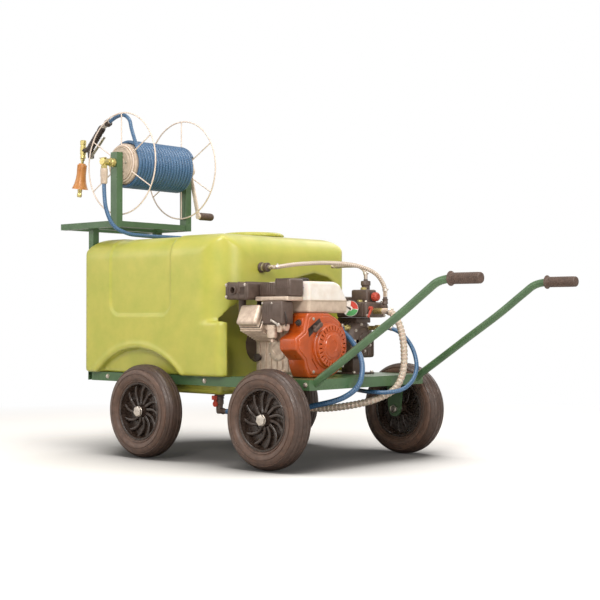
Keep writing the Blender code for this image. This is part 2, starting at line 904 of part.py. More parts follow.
def hose_winding(parent, blue):
    points = [winding_point(0) + lead_away() * LEAD_TAIL]
    points += [winding_point(i / LOOP_POINTS) for i in range(HOSE_LOOPS * LOOP_POINTS + 1)]
    body = tube("hose_winding", points, HOSE_RADIUS, 1)
    return give(pivot(body, (REEL_X, 0, REEL_Z), parent), blue)


def crank_end():
    return Vector(
        (
            REEL_X + CRANK_LENGTH * math.sin(CRANK_ANGLE),
            0,
            REEL_Z - CRANK_LENGTH * math.cos(CRANK_ANGLE),
        )
    )


def crank_arm(parent, steel):
    axis = Vector((REEL_X, CRANK_Y, REEL_Z))
    end = crank_end()
    hub = turned(
        "crank_arm",
        [
            (SHAFT_RADIUS + GAP, 0),
            (0.020, 0),
            (0.020, CRANK_HUB_LENGTH),
            (SHAFT_RADIUS + GAP, CRANK_HUB_LENGTH),
        ],
        axis,
        (0, 1, 0),
        16,
        True,
    )
    bar = block("crank bar", (-0.0095, 0.004, -CRANK_LENGTH), (0.0095, 0.010, -0.0165))
    turn = Matrix.Rotation(-CRANK_ANGLE, 4, "Y")
    bar.data.transform(Matrix.Translation(axis) @ turn)
    boss = rod("crank boss", (end.x, CRANK_Y + 0.003, end.z), (end.x, CRANK_Y + 0.012, end.z), 0.0125, 12)
    pin = turned(
        "crank pin",
        [
            (0, 0.008),
            (CRANK_PIN_RADIUS, 0.008),
            (CRANK_PIN_RADIUS, 0.0135 + CRANK_GRIP_LENGTH),
            (0.009, 0.0135 + CRANK_GRIP_LENGTH),
            (0.009, 0.0175 + CRANK_GRIP_LENGTH),
            (0, 0.0175 + CRANK_GRIP_LENGTH),
        ],
        (end.x, CRANK_Y, end.z),
        (0, 1, 0),
        12,
    )
    join(hub, bar, boss, pin)
    return give(pivot(hub, (REEL_X, 0, REEL_Z), parent), steel)


def crank_grip(parent, rubber):
    end = crank_end()
    bore = CRANK_PIN_RADIUS + SHAFT_CLEARANCE
    profile = [
        (bore, 0.0127),
        (0.0135, 0.0127),
        (0.0160, 0.020),
        (0.0150, 0.045),
        (0.0160, CRANK_GRIP_LENGTH + 0.004),
        (0.0125, CRANK_GRIP_LENGTH + 0.0130),
        (bore, CRANK_GRIP_LENGTH + 0.0130),
    ]
    body = turned("crank_grip", profile, (end.x, CRANK_Y, end.z), (0, 1, 0), 14, True)
    return give(pivot(body, (end.x, CRANK_Y, end.z), parent), rubber)


def swivel(brass):
    start = (REEL_X, NEAR_POST_Y - GAP, REEL_Z)
    body = turned(
        "swivel",
        [
            (0, 0),
            (0.0175, 0),
            (0.0175, 0.018),
            (0.0125, 0.021),
            (0.0125, 0.036),
            (0.0150, 0.038),
            (0.0150, 0.062),
            (0, 0.062),
        ],
        start,
        (0, -1, 0),
        16,
    )
    x, y, z = REEL_X, SWIVEL_HOSE_Y, REEL_Z
    drop = turned(
        "swivel drop",
        [(0, 0), (0.0095, 0), (0.0095, -0.014), (0.0115, -0.016), (0.0115, -0.060), (0, -0.060)],
        (x, y, z),
        (0, 0, 1),
        12,
    )
    bore_radius = SHAFT_RADIUS + SHAFT_CLEARANCE
    bore = rod("swivel bore", (x, NEAR_POST_Y + 0.01, z), (x, NEAR_POST_Y - 0.0135, z), bore_radius, 16)
    join(body, drop)
    cut(body, bore)
    return give(body, brass)


# Spray gun


def gun_point(across, up):
    """A point in the gun's plane, measured from the reel's axis."""
    return Vector((REEL_X + across, GUN_Y, REEL_Z + up))


def gun_body(plastic):
    body = rod("gun_body", gun_point(-0.140, 0.1635), gun_point(-0.232, 0.072), 0.0155, 12)
    connector = rod("gun connector", gun_point(*GUN_CONNECTOR), gun_point(-0.146, 0.1605), 0.0095, 10)
    collar_radius = GUN_Y - NEAR_RING_Y - WIRE_RADIUS - GAP
    along = (gun_point(-0.146, 0.1605) - gun_point(*GUN_CONNECTOR)).normalized()
    collar_start = gun_point(*GUN_CONNECTOR) + along * 0.004
    collar = rod("gun collar", collar_start, collar_start + along * 0.016, collar_radius, 12)
    guard = rod("gun guard", gun_point(-0.148, 0.1595), gun_point(-0.1385, 0.150), 0.009, 10)
    link = rod("gun link", gun_point(-0.224, 0.078), gun_point(-0.269, 0.076), 0.0105, 10)
    valve = rod("gun valve", gun_point(-0.267, 0.120), gun_point(-0.269, 0.044), 0.0125, 12)
    pipe_end = gun_point(*BELL_START) + Vector(BELL_AXIS) * 0.055
    pipe = rod("gun pipe", gun_point(*BELL_START), pipe_end, 0.006, 8)
    lugs = []
    pivot_point = gun_point(*TRIGGER_PIVOT)
    x, z = pivot_point.x, pivot_point.z
    for i, side in enumerate((-1, 1)):
        y0, y1 = sorted((GUN_Y + side * 0.0075, GUN_Y + side * 0.0110))
        foot = [(x - 0.007, z - 0.004), (x + 0.007, z - 0.004)]
        outline = [*foot, (x + 0.009, z + 0.032), (x - 0.012, z + 0.032)]
        lugs.append(prism(f"trigger lug {i}", outline, "Y", y0, y1))
    pin = rod("trigger pin", (x, GUN_Y - 0.009, z), (x, GUN_Y + 0.009, z), 0.0025, 10)
    join(body, connector, collar, guard, link, valve, pipe, *lugs, pin)
    return give(body, plastic)


def gun_trigger(parent, zinc):
    half = 0.0070
    pivot_point = gun_point(*TRIGGER_PIVOT)
    reach = Vector((0, half, 0))
    body = rod("gun_trigger", pivot_point - reach, pivot_point + reach, 0.0065, 14)
    end = gun_point(-0.130, 0.121)
    ray = (end - pivot_point).normalized()
    across = Vector((-ray.z, 0, ray.x)) * 0.0022
    corners = [pivot_point + across, end + across, end - across, pivot_point - across]
    outline = [(p.x, p.z) for p in corners]
    bar = prism("trigger bar", outline, "Y", GUN_Y - half + 0.0005, GUN_Y + half - 0.0005)
    hole = rod("trigger hole", pivot_point - reach * 3, pivot_point + reach * 3, 0.0029, 12)
    join(body, bar)
    cut(body, hole)
    return give(pivot(body, pivot_point, parent), zinc)


def gun_bell(parent, orange):
    start = gun_point(*BELL_START)
    profile = [
        (0, 0.0575),
        (0.0064, 0.0575),
        (0.0064, 0.030),
        (0.014, 0.030),
        (0.018, 0.050),
        (0.021, 0.095),
        (0.034, 0.138),
        (0.031, 0.138),
        (0.017, 0.104),
        (0.0100, 0.104),
        (0.0100, 0.172),
        (0, 0.172),
    ]
    return give(pivot(turned("gun_bell", profile, start, BELL_AXIS, 16), start, parent), orange)


# Engine


def engine_block(silver):
    floor = RAIL_TOP + DECK_THICKNESS + GAP
    front = SHROUD_REAR - GAP
    body = block("engine_block", (0.105, -0.235, floor + 0.010), (front, -0.045, 0.545), 0.012, 2)
    foot = block("engine foot", (0.098, -0.225, floor), (front - 0.010, -0.055, floor + 0.020), 0.003, 1)
    cylinder = block("cylinder", (0.125, -0.200, -0.050), (CYLINDER_FRONT, 0.0, 0.048), 0.006, 1)
    turn = Matrix.Rotation(-CYLINDER_TILT, 4, "X")
    cylinder.data.transform(Matrix.Translation(CYLINDER_ROOT) @ turn)
    shaft = (CRANKSHAFT_Y, CRANKSHAFT_Z)
    boss = rod("output boss", (0.110, *shaft), (0.0905, *shaft), 0.045, 16)
    return give(join(body, foot, cylinder, boss), silver)


def valve_cover(silver):
    body = block("valve_cover", (0.130, -0.236, -0.040), (CYLINDER_FRONT - 0.005, -0.200 - GAP, 0.040))
    turn = Matrix.Rotation(-CYLINDER_TILT, 4, "X")
    body.data.transform(Matrix.Translation(CYLINDER_ROOT) @ turn)
    step = body.modifiers.new("rounded edges", "BEVEL")
    step.width = 0.009
    step.segments = 2
    return give(body, silver)


def fan_shroud(orange):
    floor = RAIL_TOP + DECK_THICKNESS + GAP
    outline = [
        (-0.242, floor + 0.001),
        (-0.140, floor),
        *arc((CRANKSHAFT_Y, CRANKSHAFT_Z), 0.1145, -80, 75, 12),
        (-0.130, SHROUD_TOP),
        (-0.240, SHROUD_TOP),
        (-0.253, SHROUD_TOP - 0.010),
        (-0.268, 0.490),
        (-0.313, 0.465),
        (-0.313, 0.425),
        (-0.268, 0.388),
        (-0.262, 0.360),
    ]
    body = prism("fan_shroud", outline, "X", SHROUD_REAR, SHROUD_FRONT)
    step = body.modifiers.new("rounded edges", "BEVEL")
    step.width = 0.007
    step.segments = 1
    step.limit_method = "ANGLE"
    step.angle_limit = math.radians(40)
    dome = turned(
        "recoil dome",
        [
            (0, -0.010),
            (RECOIL_RADIUS, -0.010),
            (RECOIL_RADIUS, 0.010),
            (RECOIL_RADIUS - 0.012, 0.020),
            (0.048, 0.023),
            (0.046, 0.027),
            (0, 0.028),
        ],
        (SHROUD_FRONT, CRANKSHAFT_Y, CRANKSHAFT_Z),
        (1, 0, 0),
        20,
    )
    pad = block(
        "switch pad",
        (SWITCH_X - 0.014, SWITCH_Y, 0.506),
        (SWITCH_X + 0.014, SWITCH_Y + 0.02, 0.538),
    )
    return give(join(body, dome, pad), orange)


def pull_handle(rubber):
    x, y, z = SHROUD_FRONT + GAP, -0.2180, 0.5050
    body = rod("pull_handle", (x, y, z), (x + 0.016, y, z), 0.008, 10)
    bar = block("pull bar", (-0.006, -0.026, -0.0075), (0.007, 0.026, 0.0075), 0.004, 1)
    bar.data.transform(Matrix.Translation((x + 0.018, y, z)) @ Matrix.Rotation(math.radians(35), 4, "X"))
    return give(join(body, bar), rubber)


def engine_switch(plastic):
    start = (SWITCH_X, SWITCH_Y - GAP, 0.522)
    profile = [(0, 0), (0.011, 0), (0.011, 0.009), (0.006, 0.010), (0.006, 0.017), (0, 0.017)]
    return give(pivot(turned("engine_switch", profile, start, (0, -1, 0), 16), start), plastic)


def fuel_tank(plastic):
    low = SHROUD_TOP + GAP
    outline = [
        (-0.2345, low + 0.006),
        (-0.228, low),
        (-0.020, low),
        (-0.013, low + 0.008),
        (-0.016, low + 0.045),
        (-0.050, low + 0.098),
        (-0.075, low + 0.112),
        (-0.215, low + 0.116),
        (-0.2345, low + 0.100),
    ]
    body = prism("fuel_tank", outline, "X", 0.160, 0.374)
    step = body.modifiers.new("rounded edges", "BEVEL")
    step.width = 0.010
    step.segments = 2
    step.limit_method = "ANGLE"
    step.angle_limit = math.radians(50)
    return give(body, plastic)


def fuel_cap(plastic):
    at = (0.270, -0.150, SHROUD_TOP + 0.1155)
    profile = [(0, 0), (0.0235, 0), (0.0235, 0.012), (0.020, 0.016), (0, 0.016)]
    return give(pivot(turned("fuel_cap", profile, at, (0, 0, 1), 20), at), plastic)


def air_cleaner(plastic):
    near = -0.315
    body = block("air_cleaner", (0.275, near, 0.617), (0.352, -0.235 - GAP, 0.682), 0.004, 1)
    duct = block("air duct", (0.192, near + 0.010, 0.617), (0.280, -0.235 - 2 * GAP, 0.668), 0.003, 1)
    throat = block("air throat", (0.285, near + 0.004, CARBURETTOR_TOP + GAP), (0.340, -0.272, 0.625))
    return give(join(body, duct, throat), plastic)


def muffler(steel):
    near = -0.360
    body = block("muffler", (0.070, near, 0.606), (0.186, -0.235 - GAP, 0.670), 0.006, 1)
    outlet_ring = turned(
        "muffler outlet",
        [(0.010, -0.010), (0.0145, -0.010), (0.0145, 0.008), (0.010, 0.008)],
        (0.118, near, 0.640),
        (0, -1, 0),
        16,
        True,
    )
    hole = rod("muffler hole", (0.118, near - 0.02, 0.640), (0.118, near + 0.03, 0.640), 0.010, 16)
    pipe = block("exhaust pipe", (0.088, -0.318, 0.515), (0.125 - GAP, -0.288, 0.612), 0.004, 1)
    cut(body, hole)
    return give(join(body, pipe, outlet_ring), steel)


def carburettor(plastic):
    near = -0.338
    low = (CYLINDER_FRONT + GAP, near, 0.492)
    body = block("carburettor", low, (0.336, -0.2725, CARBURETTOR_TOP), 0.004, 1)
    bowl = turned(
        "carburettor bowl",
        [(0, -0.012), (0.020, -0.012), (0.020, 0.030), (0.012, 0.042), (0, 0.042)],
        (0.275, -0.322, 0.494),
        (0, 0, -1),
        16,
    )
    return give(join(body, bowl), plastic)


def choke_lever(zinc):
    at = (0.322, -0.338 - GAP, 0.515)
    body = turned("choke_lever", [(0, 0), (0.007, 0), (0.007, 0.006), (0, 0.006)], at, (0, -1, 0), 14)
    arm = block("choke arm", (-0.040, -0.0045, -0.004), (0.0, -0.0015, 0.004))
    arm.data.transform(Matrix.Translation(at) @ Matrix.Rotation(math.radians(25), 4, "Y"))
    join(body, arm)
    return give(pivot(body, at), zinc)


def dipstick(plastic):
    at = (0.130, -0.235 - GAP, 0.392)
    profile = [(0, 0), (0.0105, 0), (0.0105, 0.006), (0.0150, 0.007), (0.0150, 0.017), (0, 0.017)]
    return give(pivot(turned("dipstick", profile, at, (0, -1, 0), 16), at), plastic)


# Pump


def pump_body(steel):
    floor = RAIL_TOP + DECK_THICKNESS + GAP
    axis = (PUMP_X, PUMP_Y, PUMP_Z)
    body = turned(
        "pump_body",
        [(0, -0.060), (0.066, -0.060), (0.076, -0.045), (0.076, 0.035), (0.060, 0.062), (0, 0.062)],
        axis,
        (1, 0, 0),
        18,
    )
    pieces = [
        block("pump lower case", (0.205, 0.088, 0.385), (0.308, 0.232, 0.465), 0.006, 1),
        block("pump pad", (0.215, 0.115, 0.520), (0.312, 0.200, CONTROL_BOTTOM - GAP)),
        rod("pump neck", (0.200, PUMP_Y, PUMP_Z), (0.0905, PUMP_Y, PUMP_Z), 0.030, 14),
        block("pump foot", (0.225, 0.125, floor + 0.002), (0.285, 0.190, 0.392)),
        block("pump foot plate", (0.195, 0.095, floor), (0.315, 0.220, floor + 0.006)),
        rod("feed spigot", (0.285, 0.130, 0.500), (0.285, FEED_SPIGOT_Y, 0.500), 0.0105, 12),
        rod("delivery spigot", (0.290, 0.195, 0.500), (DELIVERY_SPIGOT_X, 0.195, 0.500), 0.0090, 12),
    ]
    return give(join(body, *pieces), steel)


def control_unit(plastic):
    body = block("control_unit", (0.222, 0.098, CONTROL_BOTTOM), (0.372, 0.215, 0.600), 0.005, 1)
    gauge_axis = Vector((0.60, -0.80, 0.0))
    gauge_at = Vector((0.285, 0.112, 0.575))
    tower = turned(
        "control tower",
        [
            (0, 0),
            (0.022, 0),
            (0.022, 0.030),
            (0.016, 0.034),
            (0.016, 0.075),
            (0.019, 0.077),
            (0.019, 0.092),
            (0.008, 0.094),
            (0.008, TOWER_TOP - 0.590),
            (0, TOWER_TOP - 0.590),
        ],
        (0.289, 0.198, 0.590),
        (0, 0, 1),
        10,
    )
    gauge_profile = [(0, 0), (0.012, 0), (0.012, 0.026), (0.034, 0.027), (0.034, 0.045), (0, 0.047)]
    pieces = [
        turned("gauge", gauge_profile, gauge_at, gauge_axis, 16),
        tower,
        block("regulator", (0.262, 0.140, 0.590), (KNOB_X - GAP, 0.200, 0.648), 0.004, 1),
        rod("return riser", RETURN_END_BASE, (*RETURN_END_BASE[:2], RETURN_END_Z), 0.0085, 10),
        rod("return elbow", (0.360, 0.190, 0.580), (0.397, 0.190, 0.580), 0.0125, 12),
        rod("suction spigot", (0.360, 0.150, 0.565), (SUCTION_SPIGOT_X, 0.150, 0.565), 0.0120, 12),
        rod("side arm", (0.240, 0.105, 0.612), (0.240, 0.205, 0.612), 0.0095, 10),
        block("side arm foot", (0.230, 0.120, 0.590), (0.250, 0.190, 0.612)),
    ]
    return give(join(body, *pieces), plastic)


def pressure_knob(red):
    at = (KNOB_X, 0.170, 0.620)
    profile = [(0, 0), (0.010, 0), (0.010, 0.004), (0.0175, 0.005), (0.0175, 0.024), (0.014, 0.028)]
    profile.append((0, 0.028))
    return give(pivot(turned("pressure_knob", profile, at, (1, 0, 0), 18), at), red)


def tap_lever(red):
    at = (0.372 + GAP, 0.118, 0.575)
    body = turned("tap_lever", [(0, 0), (0.008, 0), (0.008, 0.012), (0, 0.012)], at, (1, 0, 0), 14)
    arm = block("tap arm", (0.006, -0.006, -0.040), (0.011, 0.006, 0.0))
    arm.data.transform(Matrix.Translation(at) @ Matrix.Rotation(math.radians(-30), 4, "X"))
    join(body, arm)
    return give(pivot(body, at), red)


def drive_guard(steel):
    """Closed cover over the belt from the engine's output shaft to the pump."""
    left = arc((CRANKSHAFT_Y, CRANKSHAFT_Z), GUARD_RADIUS, 95, 265, 9)
    right = arc((PUMP_Y, PUMP_Z), GUARD_RADIUS, -85, 85, 9)
    body = prism("drive_guard", left + right, "X", GUARD_REAR, 0.0900 + GAP / 2)
    step = body.modifiers.new("rounded edges", "BEVEL")
    step.width = 0.004
    step.segments = 1
    step.limit_method = "ANGLE"
    step.angle_limit = math.radians(50)
    return give(body, steel)


# Hoses


def lead_route():
    away = lead_away()
    start = winding_point(0) + away * (LEAD_TAIL + GAP)
    return [
        start,
        start + away * 0.016,
        (-0.5235, GUN_Y + 0.001, 1.305),
        (-0.534, GUN_Y, 1.338),
        (-0.567, GUN_Y, 1.361),
        (-0.607, GUN_Y, 1.360),
        (-0.635, GUN_Y, 1.3515),
        gun_point(GUN_CONNECTOR[0] + GAP, GUN_CONNECTOR[1] + 0.0001),
    ]


def gun_lead(blue):
    return give(tube("gun_lead", smooth_route(lead_route(), 0.020), HOSE_RADIUS), blue)


def feed_hose(blue):
    route = [
        (0.285, FEED_SPIGOT_Y - GAP, 0.500),
        (0.285, FEED_SPIGOT_Y - 0.022, 0.500),
        (0.310, 0.026, 0.492),
        (0.370, 0.010, 0.455),
        (0.440, -0.022, 0.398),
        (0.484, -0.066, 0.340),
        (0.490, -0.098, 0.292),
        (0.455, -0.135, 0.252),
        (0.360, -0.195, 0.220),
        (0.200, -0.245, 0.190),
        (0.060, -0.252, 0.184),
        (0.000, -0.250, 0.1837),
        (-0.0257, -0.250, 0.1837),
    ]
    return give(tube("feed_hose", smooth_route(route, 0.040), 0.0100), blue)


def suction_route():
    return [
        (SUCTION_SPIGOT_X + GAP, 0.150, 0.565),
        (0.438, 0.150, 0.565),
        (0.470, 0.155, 0.540),
        (0.490, 0.165, 0.480),
        (0.497, 0.170, 0.400),
        (0.497, 0.160, 0.330),
        (0.482, 0.135, 0.275),
        (0.440, 0.085, 0.238),
        (0.360, 0.000, 0.210),
        (0.250, -0.070, 0.200),
        (0.130, -0.115, 0.222),
        (0.070, -0.128, 0.255),
        (0.045, -0.130, 0.267),
        (0.0223, -0.130, 0.268),
    ]


def suction_hose(white):
    """A ribbed hose with a bore: each rib is two points of unlike radius."""
    points = smooth_route(suction_route(), RIB_PITCH / 2)
    factors = [1.0 if i % 2 else 0.84 for i in range(len(points))]
    body = tube("suction_hose", points, RIBBED_RADIUS, 2, False, factors)
    middle = smooth_route(suction_route(), 0.030)
    first = middle[0] + (middle[0] - middle[1]).normalized() * 0.004
    last = middle[-1] + (middle[-1] - middle[-2]).normalized() * 0.004
    bore = tube("suction bore", [first, *middle, last], RIBBED_RADIUS * 0.60, 1)
    return give(cut(body, bore), white)


def delivery_hose(blue):
    side = TANK_HALF_WIDTH + 0.0125
    top = TANK_TOP + 0.0125
    route = [
        (DELIVERY_SPIGOT_X + GAP, 0.195, 0.500),
        (0.410, 0.195, 0.500),
        (0.455, 0.210, 0.478),
        (0.490, 0.230, 0.425),
        (0.515, 0.224, 0.355),
        (0.526, 0.180, 0.302),
        (0.518, 0.128, 0.272),
        (0.485, 0.074, 0.262),
        (0.432, 0.052, 0.263),
        (0.350, 0.085, 0.264),
        (0.250, 0.180, 0.262),
        (0.160, 0.290, 0.258),
        (0.115, 0.345, 0.268),
        (0.100, side - 0.002, 0.330),
        (0.085, side, 0.400),
        (0.020, side, 0.450),
        (-0.150, side, 0.480),
        (-0.350, side, 0.540),
        (-0.470, side, 0.640),
        (-0.505, side, 0.770),
        (-0.505, 0.349, 0.844),
        (-0.505, 0.290, top - 0.001),
        (-0.505, 0.150, top),
        (-0.505, -0.100, top),
        (-0.505, -0.250, top),
        (-0.510, -0.330, top + 0.006),
        (-0.526, -0.385, 0.905),
        (-0.548, SWIVEL_HOSE_Y + 0.002, 0.970),
        (REEL_X, SWIVEL_HOSE_Y, 1.060),
        (REEL_X, SWIVEL_HOSE_Y, REEL_Z - 0.060 - GAP),
    ]
    return give(tube("delivery_hose", smooth_route(route, 0.048), 0.0080, 1), blue)


def return_hose(clear):
    route = [
        (TANK_FRONT + 0.055 + 2 * GAP, -0.155, 0.731),
        (0.140, -0.155, 0.731),
        (0.200, -0.095, 0.742),
        (0.260, 0.015, 0.748),
        (0.320, 0.110, 0.738),
        (0.365, 0.165, 0.708),
        (0.385, 0.186, 0.668),
        (RETURN_END_BASE[0], RETURN_END_BASE[1], 0.640),
        (RETURN_END_BASE[0], RETURN_END_BASE[1], RETURN_END_Z + GAP),
    ]
    return give(tube("return_hose", smooth_route(route, 0.036), 0.0082), clear)


def bypass_hose(clear):
    route = [
        (TANK_FRONT + 0.025 + GAP, 0.235, 0.745),
        (0.110, 0.235, 0.745),
        (0.180, 0.229, 0.745),
        (0.245, 0.212, 0.740),
        (0.281, 0.200, 0.722),
        (0.289, 0.198, 0.705),
        (0.289, 0.198, TOWER_TOP + GAP),
    ]
    return give(tube("bypass_hose", smooth_route(route, 0.030), 0.0072), clear)


def build():
    paints = {
        "green_steel": paint("painted green steel", (0.07, 0.16, 0.07), 0.0, 0.45),
        "lime_plastic": paint("moulded lime polyethylene", (0.52, 0.50, 0.09), 0.0, 0.4),
        "black_plastic": paint("moulded black plastic", (0.03, 0.03, 0.03), 0.0, 0.5),
        "grey_plastic": paint("moulded grey plastic", (0.35, 0.34, 0.32), 0.0, 0.5),
        "white_plastic": paint("moulded white plastic", (0.75, 0.73, 0.70), 0.0, 0.35),
        "red_plastic": paint("moulded red plastic", (0.55, 0.05, 0.03), 0.0, 0.4),
        "orange_plastic": paint("moulded orange plastic", (0.60, 0.11, 0.02), 0.0, 0.4),
        "rubber": paint("moulded black rubber", (0.06, 0.045, 0.035), 0.0, 0.8),
        "black_steel": paint("painted black steel", (0.03, 0.03, 0.03), 0.0, 0.5),
        "zinc": paint("plated zinc", (0.70, 0.68, 0.65), 0.9, 0.3),
        "cast_aluminium": paint("cast aluminium", (0.60, 0.56, 0.52), 0.8, 0.5),
        "brass": paint("turned brass", (0.55, 0.42, 0.12), 1.0, 0.3),
        "blue_hose": paint("blue hose", (0.06, 0.17, 0.32), 0.0, 0.45),
        "clear_hose": paint("clear hose", (0.62, 0.52, 0.42), 0.0, 0.3),
        "white_wire": paint("coated white wire", (0.80, 0.74, 0.68), 0.0, 0.4),
    }
    chassis(paints["green_steel"])
    wheels(paints)
    for side_name, side in (("near", -1), ("far", 1)):
        handle(f"handle_{side_name}", side, paints["green_steel"])
        grip(f"grip_{side_name}", side, paints["rubber"])
    tank(paints["lime_plastic"])
    tank_lid(paints["lime_plastic"])
    outlet(paints)
    return_fitting(paints["black_plastic"])

    reel_stand(paints["green_steel"])
    axis = pivot_empty("reel_axis", (REEL_X, 0, REEL_Z))
    drum(axis, paints["white_plastic"])
    flange_ring("flange_ring_near", NEAR_RING_Y, axis, paints["white_wire"])
    flange_ring("flange_ring_far", FAR_RING_Y, axis, paints["white_wire"])
    hose_winding(axis, paints["blue_hose"])
    crank_arm(axis, paints["white_wire"])
    crank_grip(axis, paints["rubber"])
    swivel(paints["brass"])
    gun = gun_body(paints["black_plastic"])
    gun_trigger(gun, paints["zinc"])
    gun_bell(gun, paints["orange_plastic"])

    engine_block(paints["cast_aluminium"])
    valve_cover(paints["cast_aluminium"])
    fan_shroud(paints["orange_plastic"])
    pull_handle(paints["rubber"])
    engine_switch(paints["black_plastic"])
    fuel_tank(paints["white_plastic"])
    fuel_cap(paints["black_plastic"])
    air_cleaner(paints["black_plastic"])
    muffler(paints["black_steel"])
    carburettor(paints["black_plastic"])
    choke_lever(paints["zinc"])
    dipstick(paints["black_plastic"])

    pump_body(paints["black_steel"])
    control_unit(paints["black_plastic"])
    pressure_knob(paints["red_plastic"])
    tap_lever(paints["red_plastic"])
    drive_guard(paints["black_steel"])

    gun_lead(paints["blue_hose"])
    feed_hose(paints["blue_hose"])
    suction_hose(paints["clear_hose"])
    delivery_hose(paints["blue_hose"])
    return_hose(paints["clear_hose"])
    bypass_hose(paints["clear_hose"])


clear_scene()
PARTS = new_collection("Sprayer cart")
HELPERS = new_collection("Helpers")
ROOT = bpy.data.objects.new("cart", None)
PARTS.objects.link(ROOT)
ROOT.location = (-CENTRE_X, 0, 0)
build()
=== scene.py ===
# Wheeled sprayer cart: photo-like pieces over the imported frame. Metres, +X forward, -Y the near side.
import math

import bpy
from mathutils import Matrix, Vector


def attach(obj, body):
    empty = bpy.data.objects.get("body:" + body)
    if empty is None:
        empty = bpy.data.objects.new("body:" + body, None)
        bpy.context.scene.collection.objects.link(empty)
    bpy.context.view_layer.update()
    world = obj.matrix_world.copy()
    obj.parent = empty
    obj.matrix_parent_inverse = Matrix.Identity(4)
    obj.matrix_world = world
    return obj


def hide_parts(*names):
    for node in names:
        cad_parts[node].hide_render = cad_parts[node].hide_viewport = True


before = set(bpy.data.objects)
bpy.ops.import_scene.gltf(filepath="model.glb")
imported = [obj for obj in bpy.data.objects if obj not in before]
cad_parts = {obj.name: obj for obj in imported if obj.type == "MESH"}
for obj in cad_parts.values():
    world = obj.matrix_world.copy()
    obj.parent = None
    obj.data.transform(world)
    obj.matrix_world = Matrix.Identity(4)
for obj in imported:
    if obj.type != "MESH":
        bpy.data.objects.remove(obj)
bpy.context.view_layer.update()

layoutShift = Vector((-0.128, 0, 0))  # part.py lays the cart out from the middle of its wheels
gap = 0.0003  # kept open between a piece and the one it touches
alongX, alongY, alongZ = (1, 0, 0), (0, 1, 0), (0, 0, 1)
nearward = (0, -1, 0)
origin = (0, 0, 0)


# modelling helpers, all in the wheels' layout until finishPiece moves them


def deselect():
    if bpy.context.object and bpy.context.object.mode != "OBJECT":
        bpy.ops.object.mode_set(mode="OBJECT")
    bpy.ops.object.select_all(action="DESELECT")


def pick(thing):
    deselect()
    thing.select_set(True)
    bpy.context.view_layer.objects.active = thing
    return thing


def settle(thing):
    pick(thing)
    bpy.ops.object.transform_apply(location=True, rotation=True, scale=True)
    return thing


def applied(thing, kind, **settings):
    pick(thing)
    step = thing.modifiers.new(kind.lower(), kind)
    for key, value in settings.items():
        setattr(step, key, value)
    bpy.ops.object.modifier_apply(modifier=step.name)
    return thing


def bevelled(thing, width, segments=3, angle=30):
    return applied(
        thing,
        "BEVEL",
        width=width,
        segments=segments,
        limit_method="ANGLE",
        angle_limit=math.radians(angle),
        use_clamp_overlap=True,
    )


def shaped(thing, cutter, operation="DIFFERENCE"):
    pick(thing)
    step = thing.modifiers.new("boolean", "BOOLEAN")
    step.operation = operation
    step.solver = "MANIFOLD"
    step.object = cutter
    bpy.ops.object.modifier_apply(modifier=step.name)
    bpy.data.objects.remove(cutter)
    thing.data.materials.clear()  # the solver leaves an empty slot behind
    return thing


def joined(things):
    deselect()
    for thing in things:
        thing.select_set(True)
    bpy.context.view_layer.objects.active = things[0]
    bpy.ops.object.join()
    return things[0]


def turnTo(direction):
    return Vector(alongZ).rotation_difference(Vector(direction).normalized()).to_euler()


def block(low, high, round=0.0, segments=3):
    low, high = Vector(low), Vector(high)
    deselect()
    bpy.ops.mesh.primitive_cube_add(size=1, location=(low + high) / 2)
    thing = bpy.context.object
    thing.scale = high - low
    settle(thing)
    return bevelled(thing, round, segments) if round else thing


def cylinder(start, end, radius, sides=32, tip=None):
    start, end = Vector(start), Vector(end)
    deselect()
    bpy.ops.mesh.primitive_cone_add(
        vertices=sides,
        radius1=radius,
        radius2=radius if tip is None else tip,
        depth=(end - start).length,
        location=(start + end) / 2,
        rotation=turnTo(end - start),
    )
    return settle(bpy.context.object)


def drawn(points):
    # One open chain of edges, drawn by extruding a point
    points = [Vector(p) for p in points]
    deselect()
    bpy.ops.mesh.primitive_plane_add(size=0.01, location=points[0])
    bpy.ops.object.mode_set(mode="EDIT")
    bpy.ops.mesh.select_mode(type="VERT")
    bpy.ops.mesh.select_all(action="SELECT")
    bpy.ops.mesh.merge(type="CENTER")
    for a, b in zip(points, points[1:]):
        bpy.ops.mesh.extrude_vertices_move(TRANSFORM_OT_translate={"value": b - a})
    bpy.ops.mesh.select_all(action="SELECT")
    return bpy.context.object


def closedUp():
    bpy.ops.mesh.select_all(action="SELECT")
    bpy.ops.mesh.remove_doubles(threshold=0.00001)
    bpy.ops.mesh.normals_make_consistent(inside=False)
    bpy.ops.object.mode_set(mode="OBJECT")


def lathe(profile, start, axis, steps=48, ring=False):
    # Spins (radius, distance) points round an axis
    start, axis = Vector(start), Vector(axis).normalized()
    side = axis.orthogonal().normalized()
    points = [start + axis * along + side * max(radius, 0.0) for radius, along in profile]
    if ring:
        points.append(points[0])
    thing = drawn(points)
    bpy.ops.mesh.spin(steps=steps, angle=2 * math.pi, center=start, axis=axis)
    closedUp()
    return settle(thing)


def slab(outline, push):
    # Fills an outline and extrudes it
    thing = drawn(outline)
    bpy.ops.mesh.edge_face_add()
    bpy.ops.mesh.extrude_region_move(TRANSFORM_OT_translate={"value": Vector(push)})
    closedUp()
    return settle(thing)


